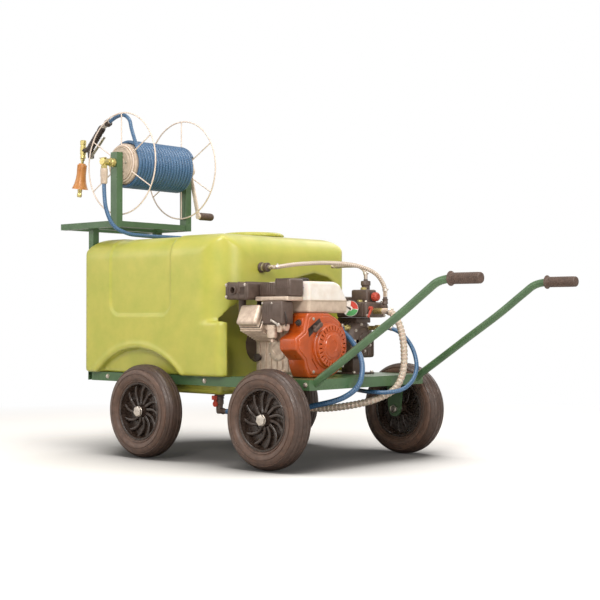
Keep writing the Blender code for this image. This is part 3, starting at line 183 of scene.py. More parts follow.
def wire(points, radius, sides=3, closed=False, factors=None):
    # A round bar or hose along points, as a mesh with a UV map in millimetres: round it and along it
    curve = bpy.data.curves.new("wire", "CURVE")
    curve.dimensions = "3D"
    curve.bevel_depth = radius
    curve.bevel_resolution = sides
    curve.use_fill_caps = not closed
    spline = curve.splines.new("POLY")
    spline.points.add(len(points) - 1)
    for i, point in enumerate(points):
        spline.points[i].co = (*point, 1.0)
        spline.points[i].radius = factors[i] if factors else 1.0
    spline.use_cyclic_u = closed
    thing = bpy.data.objects.new("wire", curve)
    bpy.context.scene.collection.objects.link(thing)
    pick(thing)
    bpy.ops.object.convert(target="MESH")
    thing = bpy.context.object
    around = 2 * sides + 4
    lengths = [0.0]
    for a, b in zip(points, list(points[1:]) + ([points[0]] if closed else [])):
        lengths.append(lengths[-1] + (Vector(b) - Vector(a)).length)
    layer = thing.data.uv_layers.active or thing.data.uv_layers.new(name="hoseMap")
    girth = 2 * math.pi * radius * 1000
    for face in thing.data.polygons:
        corners = [thing.data.loops[k].vertex_index for k in face.loop_indices]
        turns = [v % around for v in corners]
        rings = [v // around for v in corners]
        for k, turn, ring in zip(face.loop_indices, turns, rings):
            if max(turns) == around - 1 and min(turns) == 0 and turn == 0:
                turn = around
            if closed and max(rings) - min(rings) > 1 and ring == 0:
                ring = len(lengths) - 1
            along = lengths[min(ring, len(lengths) - 1)] * 1000
            layer.data[k].uv = (turn / around * girth, along)
    pick(thing)
    bpy.ops.object.mode_set(mode="EDIT")
    closedUp()
    return thing


def smoothRoute(route, spacing):
    # Even points on a Catmull-Rom curve with straight end pieces, as part.py lays its hoses
    route = [Vector(p) for p in route]
    fine = []
    for a, b, c, d in zip(route, route[1:], route[2:], route[3:]):
        knots = [0.0]
        for p, q in ((a, b), (b, c), (c, d)):
            knots.append(knots[-1] + max((q - p).length, 1e-6) ** 0.5)
        t0, t1, t2, t3 = knots
        for i in range(40):
            t = t1 + (t2 - t1) * i / 40
            ab = a * ((t1 - t) / (t1 - t0)) + b * ((t - t0) / (t1 - t0))
            bc = b * ((t2 - t) / (t2 - t1)) + c * ((t - t1) / (t2 - t1))
            cd = c * ((t3 - t) / (t3 - t2)) + d * ((t - t2) / (t3 - t2))
            abc = ab * ((t2 - t) / (t2 - t0)) + bc * ((t - t0) / (t2 - t0))
            bcd = bc * ((t3 - t) / (t3 - t1)) + cd * ((t - t1) / (t3 - t1))
            fine.append(abc * ((t2 - t) / (t2 - t1)) + bcd * ((t - t1) / (t2 - t1)))
    fine.append(route[-2])
    along = [0.0]
    for p, q in zip(fine, fine[1:]):
        along.append(along[-1] + (q - p).length)
    count = max(2, round(along[-1] / spacing))
    points = [route[0]]
    k = 0
    for i in range(count + 1):
        target = along[-1] * i / count
        while k < len(fine) - 2 and along[k + 1] < target:
            k += 1
        share = (target - along[k]) / max(along[k + 1] - along[k], 1e-9)
        points.append(fine[k].lerp(fine[k + 1], min(max(share, 0.0), 1.0)))
    points.append(route[-1])
    return points


def arcPoints(centre, radius, start, end, steps):
    points = []
    for i in range(steps + 1):
        angle = math.radians(start + (end - start) * i / steps)
        points.append((centre[0] + radius * math.cos(angle), centre[1] + radius * math.sin(angle)))
    return points


def painted(thing, material):
    thing.data.materials.clear()
    thing.data.materials.append(material)
    return thing


def turned(thing, angle, axis, centre):
    # Turns a shape by degrees about a point
    centre = Vector(centre)
    spin = Matrix.Rotation(math.radians(angle), 4, Vector(axis))
    thing.data.transform(Matrix.Translation(centre) @ spin @ Matrix.Translation(-centre))
    return thing


def copied(thing):
    other = thing.copy()
    other.data = thing.data.copy()
    bpy.context.scene.collection.objects.link(other)
    return other


def setRound(thing, count, axis, centre):
    # Replaces a shape with copies of it, evenly round an axis
    copies = [turned(copied(thing), 360 * i / count, axis, centre) for i in range(count)]
    bpy.data.objects.remove(thing)
    return copies


def hexBolt(at, axis, across=0.013, height=0.006, washer=True):
    # A hexagon head with a chamfer, on a washer
    at, axis = Vector(at), Vector(axis).normalized()
    head = cylinder(at, at + axis * height, across / 2 / math.cos(math.pi / 6), 6)
    bevelled(head, height * 0.18, 2)
    if not washer:
        return head
    ring = cylinder(at - axis * 0.0004, at + axis * 0.0014, across * 0.72, 20)
    return joined([head, ring])


def finishPiece(name, things, look=None, body="cart", replaces=(), smooth=35):
    # Joins the shapes, moves them to the frame, smooths and names them, and hangs them on their body
    things = things if isinstance(things, list) else [things]
    for thing in things:
        if look and not thing.data.materials:
            painted(thing, finish[look])
    thing = joined(things) if len(things) > 1 else things[0]
    thing.data.transform(Matrix.Translation(layoutShift))
    pick(thing)
    bpy.ops.object.shade_smooth_by_angle(angle=math.radians(smooth))
    thing.name = name
    thing.data.name = name
    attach(thing, body)
    if replaces:
        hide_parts(*([replaces] if isinstance(replaces, str) else replaces))
    return thing


# materials


def linear(hexColour):
    channels = [int(hexColour[i : i + 2], 16) / 255 for i in (0, 2, 4)]
    return [c / 12.92 if c <= 0.04045 else ((c + 0.055) / 1.055) ** 2.4 for c in channels] + [1.0]


def addNode(tree, kind, settings=None, links=None):
    node = tree.nodes.new(kind)
    for key, value in (settings or {}).items():
        if isinstance(key, str) and key not in node.inputs:
            setattr(node, key, value)
        else:
            node.inputs[key].default_value = value
    for key, socket in (links or {}).items():
        tree.links.new(socket, node.inputs[key])
    return node


def makeMaterial(name, look):
    # Mottled colour, uneven gloss and a fine bump, each at the size in millimetres that look gives
    material = bpy.data.materials.new(name)
    material.use_nodes = True
    tree = material.node_tree
    tree.nodes.clear()
    output = addNode(tree, "ShaderNodeOutputMaterial")
    place = addNode(tree, "ShaderNodeTexCoord").outputs["UV" if look.get("onMap") else "Object"]
    perMetre = 1.0 if look.get("onMap") else 1000.0  # the hoses' own map is in millimetres
    mottle = addNode(
        tree,
        "ShaderNodeTexNoise",
        {"Scale": perMetre / look["mottleMm"], "Detail": 4.0, "Roughness": 0.55},
        {"Vector": place},
    )
    colour = addNode(
        tree,
        "ShaderNodeMix",
        {"data_type": "RGBA"},
    )
    colour.inputs[6].default_value = linear(look["hex"])
    colour.inputs[7].default_value = linear(look["shadeHex"])
    spread = addNode(
        tree,
        "ShaderNodeMapRange",
        {"From Min": 0.35, "From Max": 0.75, "To Min": 0.0, "To Max": look.get("mottle", 1.0)},
        {"Value": mottle.outputs["Fac"]},
    )
    tree.links.new(spread.outputs[0], colour.inputs[0])
    gloss = addNode(
        tree,
        "ShaderNodeMapRange",
        {
            "From Min": 0.3,
            "From Max": 0.7,
            "To Min": max(look["roughness"] - look.get("uneven", 0.06), 0.02),
            "To Max": look["roughness"] + look.get("uneven", 0.06),
        },
        {"Value": mottle.outputs["Fac"]},
    )
    grain = addNode(
        tree,
        "ShaderNodeTexNoise",
        {"Scale": perMetre / look["grainMm"], "Detail": 3.0},
        {"Vector": place},
    )
    bump = addNode(
        tree,
        "ShaderNodeBump",
        {"Strength": look.get("bump", 0.15), "Distance": look["grainMm"] / 1000 * 0.5},
        {"Height": grain.outputs["Fac"]},
    )
    shader = addNode(
        tree,
        "ShaderNodeBsdfPrincipled",
        {"Metallic": look.get("metallic", 0.0), **look.get("shader", {})},
        {
            "Base Color": colour.outputs[2],
            "Roughness": gloss.outputs[0],
            "Normal": bump.outputs[0],
        },
    )
    tree.links.new(shader.outputs[0], output.inputs[0])
    parts = {
        "tree": tree,
        "place": place,
        "bump": bump,
        "shader": shader,
    }
    if look.get("pattern"):
        look["pattern"](parts, look)
    return material


def overColour(parts, factor, hexColour):
    # Lays one more colour over the base where factor is 1
    tree = parts["tree"]
    before = parts["shader"].inputs["Base Color"].links[0].from_socket
    layer = addNode(tree, "ShaderNodeMix", {"data_type": "RGBA"})
    layer.inputs[7].default_value = linear(hexColour)
    tree.links.new(before, layer.inputs[6])
    tree.links.new(factor, layer.inputs[0])
    tree.links.new(layer.outputs[2], parts["shader"].inputs["Base Color"])


def addRelief(parts, height, distance, strength=1.0):
    # One more bump on top of the grain
    tree = parts["tree"]
    relief = addNode(
        tree,
        "ShaderNodeBump",
        {"Strength": strength, "Distance": distance},
        {"Height": height, "Normal": parts["bump"].outputs[0]},
    )
    tree.links.new(relief.outputs[0], parts["shader"].inputs["Normal"])
    parts["bump"] = relief


def stripes(parts, slope, pitchMm, sharp=(0.35, 0.65)):
    # 1 on the threads of a braid that runs at this slope over a hose's map
    tree = parts["tree"]
    split = addNode(tree, "ShaderNodeSeparateXYZ", {}, {"Vector": parts["place"]})
    scaled = addNode(tree, "ShaderNodeMath", {"operation": "MULTIPLY", 1: slope}, {0: split.outputs[0]})
    total = addNode(tree, "ShaderNodeMath", {"operation": "ADD"}, {0: scaled.outputs[0], 1: split.outputs[1]})
    turns = addNode(
        tree, "ShaderNodeMath", {"operation": "MULTIPLY", 1: 2 * math.pi / pitchMm}, {0: total.outputs[0]}
    )
    wave = addNode(tree, "ShaderNodeMath", {"operation": "SINE"}, {0: turns.outputs[0]})
    return addNode(
        tree,
        "ShaderNodeMapRange",
        {"From Min": sharp[0] * 2 - 1, "From Max": sharp[1] * 2 - 1},
        {"Value": wave.outputs[0]},
    ).outputs[0]


def braided(parts, look):
    girth = look["girthMm"]
    pitch = look["braidMm"]
    for slope in (pitch * 2 / girth, -pitch * 2 / girth):
        thread = stripes(parts, slope, pitch, (0.72, 0.9))
        overColour(parts, thread, look["threadHex"])
        addRelief(parts, thread, 0.0004, 0.5)


def windowed(parts, look):
    window = stripes(parts, 0.0, look["ribMm"], (0.42, 0.8))
    overColour(parts, window, look["windowHex"])


looks = {
    # Rotomoulded polyethylene: waxy, softly glossy, with a faint orange peel and cloudy colour.
    "rotomouldedPolyethylene": {
        "hex": "BCB850",
        "shadeHex": "A8AD43",
        "roughness": 0.34,
        "uneven": 0.05,
        "mottleMm": 90,
        "grainMm": 4.5,
        "bump": 0.05,
        "shader": {
            "IOR": 1.5, "Subsurface Weight": 0.05, "Subsurface Scale": 0.01, "Coat Weight": 0.4,
            "Coat Roughness": 0.32,
        },
    },
    # Powder-coated steel: a green satin skin with a fine orange peel, chalky where it has been knocked.
    "powderCoatedSteel": {
        "hex": "4C6B47",
        "shadeHex": "3E5A3B",
        "roughness": 0.32,
        "uneven": 0.08,
        "mottleMm": 60,
        "grainMm": 2.5,
        "bump": 0.12,
        "shader": {"IOR": 1.5, "Coat Weight": 0.2, "Coat Roughness": 0.3},
    },
    # Vulcanised rubber, dusty and browned: matt with a soft sheen at its edges.
    "vulcanisedRubber": {
        "hex": "5F4638",
        "shadeHex": "423026",
        "roughness": 0.46,
        "uneven": 0.1,
        "mottleMm": 22,
        "grainMm": 1.6,
        "bump": 0.3,
        "shader": {"IOR": 1.52, "Sheen Weight": 0.12, "Sheen Roughness": 0.5},
    },
    # The crown of the same tyres, which runs on the ground: darker and a little more matt.
    "darkerCrownRubber": {
        "hex": "49362C",
        "shadeHex": "33251E",
        "roughness": 0.42,
        "uneven": 0.12,
        "mottleMm": 16,
        "grainMm": 1.6,
        "bump": 0.35,
        "shader": {"IOR": 1.52},
    },
    # Soft moulded rubber of the grips: finer and darker than the tyres.
    "mouldedGripRubber": {
        "hex": "5A463B",
        "shadeHex": "45362E",
        "roughness": 0.55,
        "mottleMm": 12,
        "grainMm": 1.0,
        "bump": 0.25,
        "shader": {"IOR": 1.52},
    },
    # Glass-filled nylon of the rims: near black with a low satin gloss.
    "glassFilledNylon": {
        "hex": "2A201A",
        "shadeHex": "40322A",
        "roughness": 0.27,
        "mottleMm": 14,
        "grainMm": 1.2,
        "bump": 0.2,
        "shader": {"IOR": 1.53},
    },
    # Moulded ABS and nylon covers of the engine and the pump: faded brown-black, fine spark-eroded grain.
    "sparkErodedAbs": {
        "hex": "5B4B42",
        "shadeHex": "4A3C34",
        "roughness": 0.45,
        "mottleMm": 25,
        "grainMm": 0.9,
        "bump": 0.2,
        "shader": {"IOR": 1.52},
    },
    # Blacker moulded parts: fittings, cap, knobs.
    "mouldedBlackNylon": {
        "hex": "2B221E",
        "shadeHex": "3A2F29",
        "roughness": 0.35,
        "mottleMm": 12,
        "grainMm": 0.9,
        "bump": 0.15,
        "shader": {"IOR": 1.53},
    },
    # Die-cast aluminium: pale, sandy and warm, with a rough skin that holds oil in its hollows.
    "dieCastAluminium": {
        "hex": "D6C4B2",
        "shadeHex": "B8A392",
        "roughness": 0.48,
        "uneven": 0.12,
        "mottleMm": 18,
        "grainMm": 1.4,
        "bump": 0.35,
        "metallic": 0.55,
    },
    # Zinc-plated steel of the bolts, caps and clamps: bright, slightly yellow.
    "zincPlatedSteel": {
        "hex": "D8D0C6",
        "shadeHex": "B9AFA4",
        "roughness": 0.3,
        "mottleMm": 6,
        "grainMm": 0.7,
        "bump": 0.08,
        "metallic": 0.85,
    },
    # Turned brass, dulled: a pale straw yellow.
    "turnedBrass": {
        "hex": "D3C385",
        "shadeHex": "B5A765",
        "roughness": 0.3,
        "mottleMm": 7,
        "grainMm": 0.6,
        "bump": 0.1,
        "metallic": 0.75,
    },
    # Baked enamel on pressed steel: the fan cover's deep orange gloss.
    "bakedEnamelSteel": {
        "hex": "B94E14",
        "shadeHex": "A24410",
        "roughness": 0.3,
        "mottleMm": 45,
        "grainMm": 2.2,
        "bump": 0.06,
        "shader": {"IOR": 1.5, "Coat Weight": 0.3, "Coat Roughness": 0.15},
    },
    # Blow-moulded polyethylene of the fuel tank: milky white, a little see-through.
    "blowMouldedPolyethylene": {
        "hex": "E9E2DA",
        "shadeHex": "DCD0C4",
        "roughness": 0.34,
        "mottleMm": 40,
        "grainMm": 2.5,
        "bump": 0.05,
        "shader": {"IOR": 1.5, "Subsurface Weight": 0.12, "Subsurface Scale": 0.01},
    },
    # Injection-moulded polyamide of the drum's hub: off-white with brown dust. On the fuel tank's lower half
    # it is painted shade under the white upper half.
    "mouldedPalePolyamide": {
        "hex": "CDBBA8",
        "shadeHex": "B7A38F",
        "roughness": 0.42,
        "mottleMm": 20,
        "grainMm": 1.2,
        "bump": 0.12,
        "shader": {"IOR": 1.53},
    },
    # Plastic-coated wire: creamy white and smooth.
    "coatedWire": {
        "hex": "E4D5C8",
        "shadeHex": "D3BFAE",
        "roughness": 0.35,
        "mottleMm": 15,
        "grainMm": 1.0,
        "bump": 0.06,
        "shader": {"IOR": 1.5},
    },
    # Moulded orange polypropylene of the nozzle's bell.
    "mouldedOrangePolypropylene": {
        "hex": "C98C52",
        "shadeHex": "B67538",
        "roughness": 0.38,
        "mottleMm": 14,
        "grainMm": 1.0,
        "bump": 0.08,
        "shader": {"IOR": 1.49, "Subsurface Weight": 0.08, "Subsurface Scale": 0.004},
    },
    # Moulded red nylon of the pump's knobs.
    "mouldedRedNylon": {
        "hex": "BE4A38",
        "shadeHex": "A53C2D",
        "roughness": 0.35,
        "mottleMm": 10,
        "grainMm": 0.8,
        "bump": 0.08,
        "shader": {"IOR": 1.53},
    },
    # Painted green sector of the gauge's dial.
    "printedGreenFace": {
        "hex": "4FA05A",
        "shadeHex": "479152",
        "roughness": 0.4,
        "mottleMm": 10,
        "grainMm": 1.0,
        "bump": 0.02,
    },
    # Painted red sector of the same dial: as flat and matt as the green one.
    "printedRedFace": {
        "hex": "C8402F",
        "shadeHex": "BC3728",
        "roughness": 0.4,
        "mottleMm": 10,
        "grainMm": 1.0,
        "bump": 0.02,
    },
    # Printed white face of the dial: smooth card, a little warm.
    "printedWhiteFace": {
        "hex": "F0E8E0",
        "shadeHex": "E8DED4",
        "roughness": 0.35,
        "mottleMm": 10,
        "grainMm": 1.0,
        "bump": 0.02,
    },
    # Extruded PVC of the pressure hoses: blue and smooth, with its braid showing faintly.
    "extrudedBluePvc": {
        "hex": "335A80",
        "shadeHex": "27486B",
        "roughness": 0.34,
        "mottleMm": 30,
        "grainMm": 1.5,
        "bump": 0.06,
        "onMap": True,
        "pattern": braided,
        "braidMm": 9.0,
        "girthMm": 50.0,
        "threadHex": "3F688C",
        "shader": {"IOR": 1.53, "Coat Weight": 0.25, "Coat Roughness": 0.2},
    },
    # Braided clear PVC: milky wall with a net of white yarn.
    "braidedClearPvc": {
        "hex": "A8947F",
        "shadeHex": "8F7B67",
        "roughness": 0.22,
        "mottleMm": 25,
        "grainMm": 1.5,
        "bump": 0.05,
        "onMap": True,
        "pattern": braided,
        "braidMm": 8.0,
        "girthMm": 52.0,
        "threadHex": "D2C4B4",
        "shader": {"IOR": 1.53, "Coat Weight": 0.5, "Coat Roughness": 0.1},
    },
    # Corrugated suction hose: pale soft PVC wound over a rigid helix.
    "helixSuctionPvc": {
        "hex": "CFBFAE",
        "shadeHex": "BCA996",
        "roughness": 0.32,
        "onMap": True,
        "pattern": windowed,
        "ribMm": 15.0,
        "windowHex": "AF9E8C",
        "mottleMm": 18,
        "grainMm": 1.4,
        "bump": 0.08,
        "shader": {
            "IOR": 1.53, "Coat Weight": 0.3, "Coat Roughness": 0.2, "Subsurface Weight": 0.1,
            "Subsurface Scale": 0.006,
        },
    },
}
finish = {name: makeMaterial(name, look) for name, look in looks.items()}
print("materials:", len(finish))

# camera, light and floor

cameraFit = {
    "place": (3.321, -3.739, 0.543),
    "target": (-0.0055, 0.0, 0.6081),
    "lensMm": 77.67,
}
cameraData = bpy.data.cameras.new("camera")
cameraData.lens = cameraFit["lensMm"]
cameraData.sensor_width = 36
camera = bpy.data.objects.new("camera", cameraData)
bpy.context.scene.collection.objects.link(camera)
camera.location = cameraFit["place"]
look = Vector(cameraFit["target"]) - Vector(cameraFit["place"])
camera.rotation_euler = look.to_track_quat("-Z", "Y").to_euler()
bpy.context.scene.camera = camera

studio = {
    "worldStrength": 0.31,
    "sheenStrength": 0.8,
    "worldHex": "FFFBF7",
    "lamps": (
        # name, place, size, watts, colour
        ("keySoftbox", (2.6, -4.6, 3.3), 1.7, 165, "FFFCF8"),
        ("overheadSoftbox", (0.7, -0.6, 4.2), 2.6, 112, "FFFCF8"),
        ("nearSideSoftbox", (-3.0, -3.6, 2.2), 2.4, 35, "FFFBF6"),
        ("frontSoftbox", (5.2, -0.6, 1.8), 2.2, 74, "FFFCF8"),
        ("backSoftbox", (-0.8, 4.4, 3.0), 2.6, 45, "FFFCF8"),
    ),
    "floorHex": "F2EFEC",
    "floorGlow": 0.26,
    # the painted shadow on the floor: its colour, the least share of paper left in it, and the occlusion
    # reach and span it follows
    "shadowHex": "4A4745",
    "shadowLeast": 0.1,
    "shadowReach": 1.9,
    "shadowSpan": (0.44, 0.93),
    "whiteFrom": 2.3,
    "whiteAt": 3.4,
}


def raysSeen(tree):
    # The light path, and 1 on the rays that reach the camera straight or through glass
    ray = addNode(tree, "ShaderNodeLightPath")
    straight, through = ray.outputs["Is Camera Ray"], ray.outputs["Is Transmission Ray"]
    return ray, addNode(tree, "ShaderNodeMath", {"operation": "MAXIMUM"}, {0: straight, 1: through})


def makeFloorMaterial():
    # Paper that keeps the lamps' shadow near the cart and carries a painted shadow there too, where an
    # ambient-occlusion mask darkens its colour towards shadowHex and dims its glow; it runs out to plain
    # white further off
    material = bpy.data.materials.new("seamlessPaperFloor")
    material.use_nodes = True
    tree = material.node_tree
    tree.nodes.clear()
    seen = raysSeen(tree)[1]
    # painted shadow: ambient occlusion near the cart mixes the paper towards shadowHex and lowers its glow
    under = addNode(tree, "ShaderNodeAmbientOcclusion", {"samples": 32, "Distance": studio["shadowReach"]})
    low, high = studio["shadowSpan"]
    openFloor = addNode(
        tree, "ShaderNodeMapRange", {"From Min": low, "From Max": high, "To Min": studio["shadowLeast"]},
        {"Value": under.outputs["AO"]},
    )
    tint = addNode(tree, "ShaderNodeMix", {"data_type": "RGBA"}, {0: openFloor.outputs[0]})
    tint.inputs[6].default_value = linear(studio["shadowHex"])
    tint.inputs[7].default_value = linear(studio["floorHex"])
    paper = addNode(tree, "ShaderNodeBsdfDiffuse", {}, {"Color": tint.outputs[2]})
    lit = addNode(
        tree, "ShaderNodeMath", {"operation": "MULTIPLY"}, {0: seen.outputs[0], 1: openFloor.outputs[0]}
    )
    glow = addNode(
        tree, "ShaderNodeMath", {"operation": "MULTIPLY", 1: studio["floorGlow"]}, {0: lit.outputs[0]}
    )
    light = addNode(tree, "ShaderNodeEmission", {"Color": (1, 1, 1, 1)}, {"Strength": glow.outputs[0]})
    near = addNode(tree, "ShaderNodeAddShader", {}, {0: paper.outputs[0], 1: light.outputs[0]})
    place = addNode(tree, "ShaderNodeTexCoord")
    away = addNode(tree, "ShaderNodeVectorMath", {"operation": "LENGTH"}, {0: place.outputs["Object"]})
    far = addNode(
        tree, "ShaderNodeMapRange", {"From Min": studio["whiteFrom"], "From Max": studio["whiteAt"]},
        {"Value": away.outputs["Value"]},
    )
    farSeen = addNode(
        tree, "ShaderNodeMath", {"operation": "MULTIPLY"}, {0: far.outputs[0], 1: seen.outputs[0]}
    )
    white = addNode(tree, "ShaderNodeEmission", {"Color": (1, 1, 1, 1), "Strength": 1.0})
    both = addNode(
        tree, "ShaderNodeMixShader", {}, {0: farSeen.outputs[0], 1: near.outputs[0], 2: white.outputs[0]}
    )
    addNode(tree, "ShaderNodeOutputMaterial", {}, {0: both.outputs[0]})
    return material


def makeStudio():
    world = bpy.data.worlds.new("studio")
    bpy.context.scene.world = world
    world.use_nodes = True
    tree = world.node_tree
    tree.nodes.clear()
    ray, seen = raysSeen(tree)
    soft = addNode(
        tree, "ShaderNodeBackground",
        {"Color": linear(studio["worldHex"]), "Strength": studio["worldStrength"]},
    )
    white = addNode(tree, "ShaderNodeBackground", {"Color": (1, 1, 1, 1), "Strength": 1.0})
    sheen = addNode(
        tree, "ShaderNodeBackground",
        {"Color": linear(studio["worldHex"]), "Strength": studio["sheenStrength"]},
    )
    lit = addNode(
        tree, "ShaderNodeMixShader", {},
        {0: ray.outputs["Is Glossy Ray"], 1: soft.outputs[0], 2: sheen.outputs[0]},
    )
    mixed = addNode(
        tree, "ShaderNodeMixShader", {}, {0: seen.outputs[0], 1: lit.outputs[0], 2: white.outputs[0]}
    )
    addNode(tree, "ShaderNodeOutputWorld", {}, {0: mixed.outputs[0]})
    for name, place, size, watts, colour in studio["lamps"]:
        lamp = bpy.data.lights.new(name, "AREA")
        lamp.size = size
        lamp.energy = watts
        lamp.color = linear(colour)[:3]
        holder = bpy.data.objects.new(name, lamp)
        bpy.context.scene.collection.objects.link(holder)
        holder.location = place
        holder.rotation_euler = (Vector((0, 0, 0.5)) - Vector(place)).to_track_quat("-Z", "Y").to_euler()
    deselect()
    bpy.ops.mesh.primitive_plane_add(size=60, location=(0, 0, -0.0005))
    floor = bpy.context.object
    floor.name = "floor"
    painted(settle(floor), makeFloorMaterial())
    bpy.context.scene.view_settings.view_transform = "Standard"


makeStudio()
print("studio ready")

# hoses: the routes are part.py's, point for point

reelAxis = Vector((-0.56, 0.0, 1.162))
winding = {
    "loops": 19, "pitch": 0.0156, "nearY": -0.2965, "radius": 0.09, "leadAngle": 30.0, "tail": 0.06,
    "hoseRadius": 0.0075,
}
gunY = -0.2983
tankTop = 0.859
tankSide = 0.3635
hoseAlong = {"side": tankSide + 0.0125, "top": tankTop + 0.0125, "swivelY": -0.408}


def windingPoint(turns):
    angle = math.radians(winding["leadAngle"]) - 2 * math.pi * turns
    return Vector(
        (
            reelAxis.x + winding["radius"] * math.cos(angle),
            winding["nearY"] + winding["pitch"] * turns,
            reelAxis.z + winding["radius"] * math.sin(angle),
        )
    )


def leadAway():
    return (windingPoint(0) - windingPoint(1 / 24)).normalized()


def leadRoute():
    away = leadAway()
    start = windingPoint(0) + away * (winding["tail"] + gap)
    return [
        start,
        start + away * 0.016,
        (-0.5235, gunY + 0.001, 1.305),
        (-0.534, gunY, 1.338),
        (-0.567, gunY, 1.361),
        (-0.607, gunY, 1.36),
        (-0.635, gunY, 1.3515),
        (-0.655 + gap, gunY, 1.3436),
    ]


feedRoute = [
    (0.285, 0.0617, 0.5), (0.285, 0.04, 0.5), (0.31, 0.026, 0.492), (0.37, 0.01, 0.455),
    (0.44, -0.022, 0.398), (0.484, -0.066, 0.34), (0.49, -0.098, 0.292), (0.455, -0.135, 0.252),
    (0.36, -0.195, 0.22), (0.2, -0.245, 0.19), (0.06, -0.252, 0.184), (0.0, -0.25, 0.1837),
    (-0.0257, -0.25, 0.1837),
]
suctionRoute = [
    (0.4123, 0.15, 0.565), (0.438, 0.15, 0.565), (0.47, 0.155, 0.54), (0.49, 0.165, 0.48), (0.497, 0.17, 0.4),
    (0.497, 0.16, 0.33), (0.482, 0.135, 0.275), (0.44, 0.085, 0.238), (0.36, 0.0, 0.21), (0.25, -0.07, 0.2),
    (0.13, -0.115, 0.222), (0.07, -0.128, 0.255), (0.045, -0.13, 0.267), (0.0223, -0.13, 0.268),
]
deliveryRoute = [
    (0.3863, 0.195, 0.5), (0.41, 0.195, 0.5), (0.455, 0.21, 0.478), (0.49, 0.23, 0.425),
    (0.515, 0.224, 0.355), (0.526, 0.18, 0.302), (0.518, 0.128, 0.272), (0.485, 0.074, 0.262),
    (0.432, 0.052, 0.263), (0.35, 0.085, 0.264), (0.25, 0.18, 0.262), (0.16, 0.29, 0.258),
    (0.115, 0.345, 0.268),
    (0.1, hoseAlong["side"] - 0.002, 0.33),
    (0.085, hoseAlong["side"], 0.4),
    (0.02, hoseAlong["side"], 0.45),
    (-0.15, hoseAlong["side"], 0.48),
    (-0.35, hoseAlong["side"], 0.54),
    (-0.47, hoseAlong["side"], 0.64),
    (-0.505, hoseAlong["side"], 0.77),
    (-0.505, 0.349, 0.844),
    (-0.505, 0.29, hoseAlong["top"] - 0.001),
    (-0.505, 0.15, hoseAlong["top"]),
    (-0.505, -0.1, hoseAlong["top"]),
    (-0.505, -0.25, hoseAlong["top"]),
    (-0.51, -0.33, hoseAlong["top"] + 0.006),
    (-0.526, -0.385, 0.905),
    (-0.548, hoseAlong["swivelY"] + 0.002, 0.97),
    (-0.56, hoseAlong["swivelY"], 1.06),
    (-0.56, hoseAlong["swivelY"], 1.1017),
]
returnRoute = [
    (0.1166, -0.155, 0.731), (0.14, -0.155, 0.731), (0.2, -0.095, 0.742), (0.26, 0.015, 0.748),
    (0.32, 0.11, 0.738), (0.365, 0.165, 0.708), (0.385, 0.186, 0.668), (0.391, 0.19, 0.64),
    (0.391, 0.19, 0.6203),
]
bypassRoute = [
    (0.0863, 0.235, 0.745), (0.11, 0.235, 0.745), (0.18, 0.229, 0.745), (0.245, 0.212, 0.74),
    (0.281, 0.2, 0.722), (0.289, 0.198, 0.705), (0.289, 0.198, 0.6903),
]
hoses = (
    # piece, CAD node, route, radius, finish, stiffness
    ("gunLeadHose", "gun_lead", leadRoute(), 0.0075, "extrudedBluePvc", "medium"),
    ("feedHose", "feed_hose", feedRoute, 0.01, "extrudedBluePvc", "medium"),
    ("deliveryHose", "delivery_hose", deliveryRoute, 0.008, "extrudedBluePvc", "medium"),
    ("returnHose", "return_hose", returnRoute, 0.0082, "braidedClearPvc", "medium"),
    ("bypassHose", "bypass_hose", bypassRoute, 0.0072, "braidedClearPvc", "medium"),
)


def length(points):
    return sum((Vector(b) - Vector(a)).length for a, b in zip(points, points[1:]))


def makeHoses():
    for name, node, route, radius, look, stiffness in hoses:
        points = smoothRoute(route, 0.006)
        hose = finishPiece(name, wire(points, radius, 6), look, "cart", node, 60)


def makeSuctionHose():
    ribs = {"pitch": 0.015, "valley": 0.84, "radius": 0.014, "steps": 10}
    points = smoothRoute(suctionRoute, ribs["pitch"] / ribs["steps"])
    swell = [0.5 - 0.5 * math.cos(2 * math.pi * i / ribs["steps"]) for i in range(len(points))]
    factors = [ribs["valley"] + (1 - ribs["valley"]) * s**0.6 for s in swell]
    hose = finishPiece(
        "suctionHose", wire(points, ribs["radius"], 5, factors=factors), "helixSuctionPvc", "cart",
        "suction_hose", 80,
    )


def makeWinding():
    steps = 60
    points = [windingPoint(0) + leadAway() * winding["tail"] * (1 - i / 6) for i in range(6)]
    points += [windingPoint(i / steps) for i in range(winding["loops"] * steps + 1)]
    finishPiece(
        "woundHose", wire(points, winding["hoseRadius"], 5), "extrudedBluePvc", "reel", "hose_winding", 60
    )


makeHoses()
makeSuctionHose()
makeWinding()
print("hoses ready")

# tank

tank = {
    "rear": -0.711,
    "wingRear": -0.745,
    "wingInner": 0.3315,
    "front": 0.061,
    "halfWidth": 0.3635,
    "bottom": 0.3193,
    "top": tankTop,
    "topRound": 0.085,
    "rearCorner": 0.03,
    "nearFrontCorner": 0.135,
    "farFrontCorner": 0.055,
    "ledge": 0.527,
    "footCorner": 0.038,
    "voxel": 0.0058,
    "panel": {"rear": -0.574, "front": -0.222, "low": 0.551, "corner": 0.05, "depth": 0.0045, "soft": 0.009},
    "archCentre": (-0.417, 0.071),
    "archRadius": 0.348,
    "archFloor": 0.328,
    "lid": (-0.235, 0.11),
    "lidRadius": 0.125,
    "neck": 0.01,
}
recessOutline = [
    (-0.33, 0.3), (0.33, 0.3), (0.338, 0.56), (0.335, 0.625), (0.3, 0.672), (0.24, 0.703), (0.16, 0.716),
    (0.087, 0.702), (-0.08, 0.66), (-0.24, 0.606), (-0.3, 0.575), (-0.33, 0.535),
]


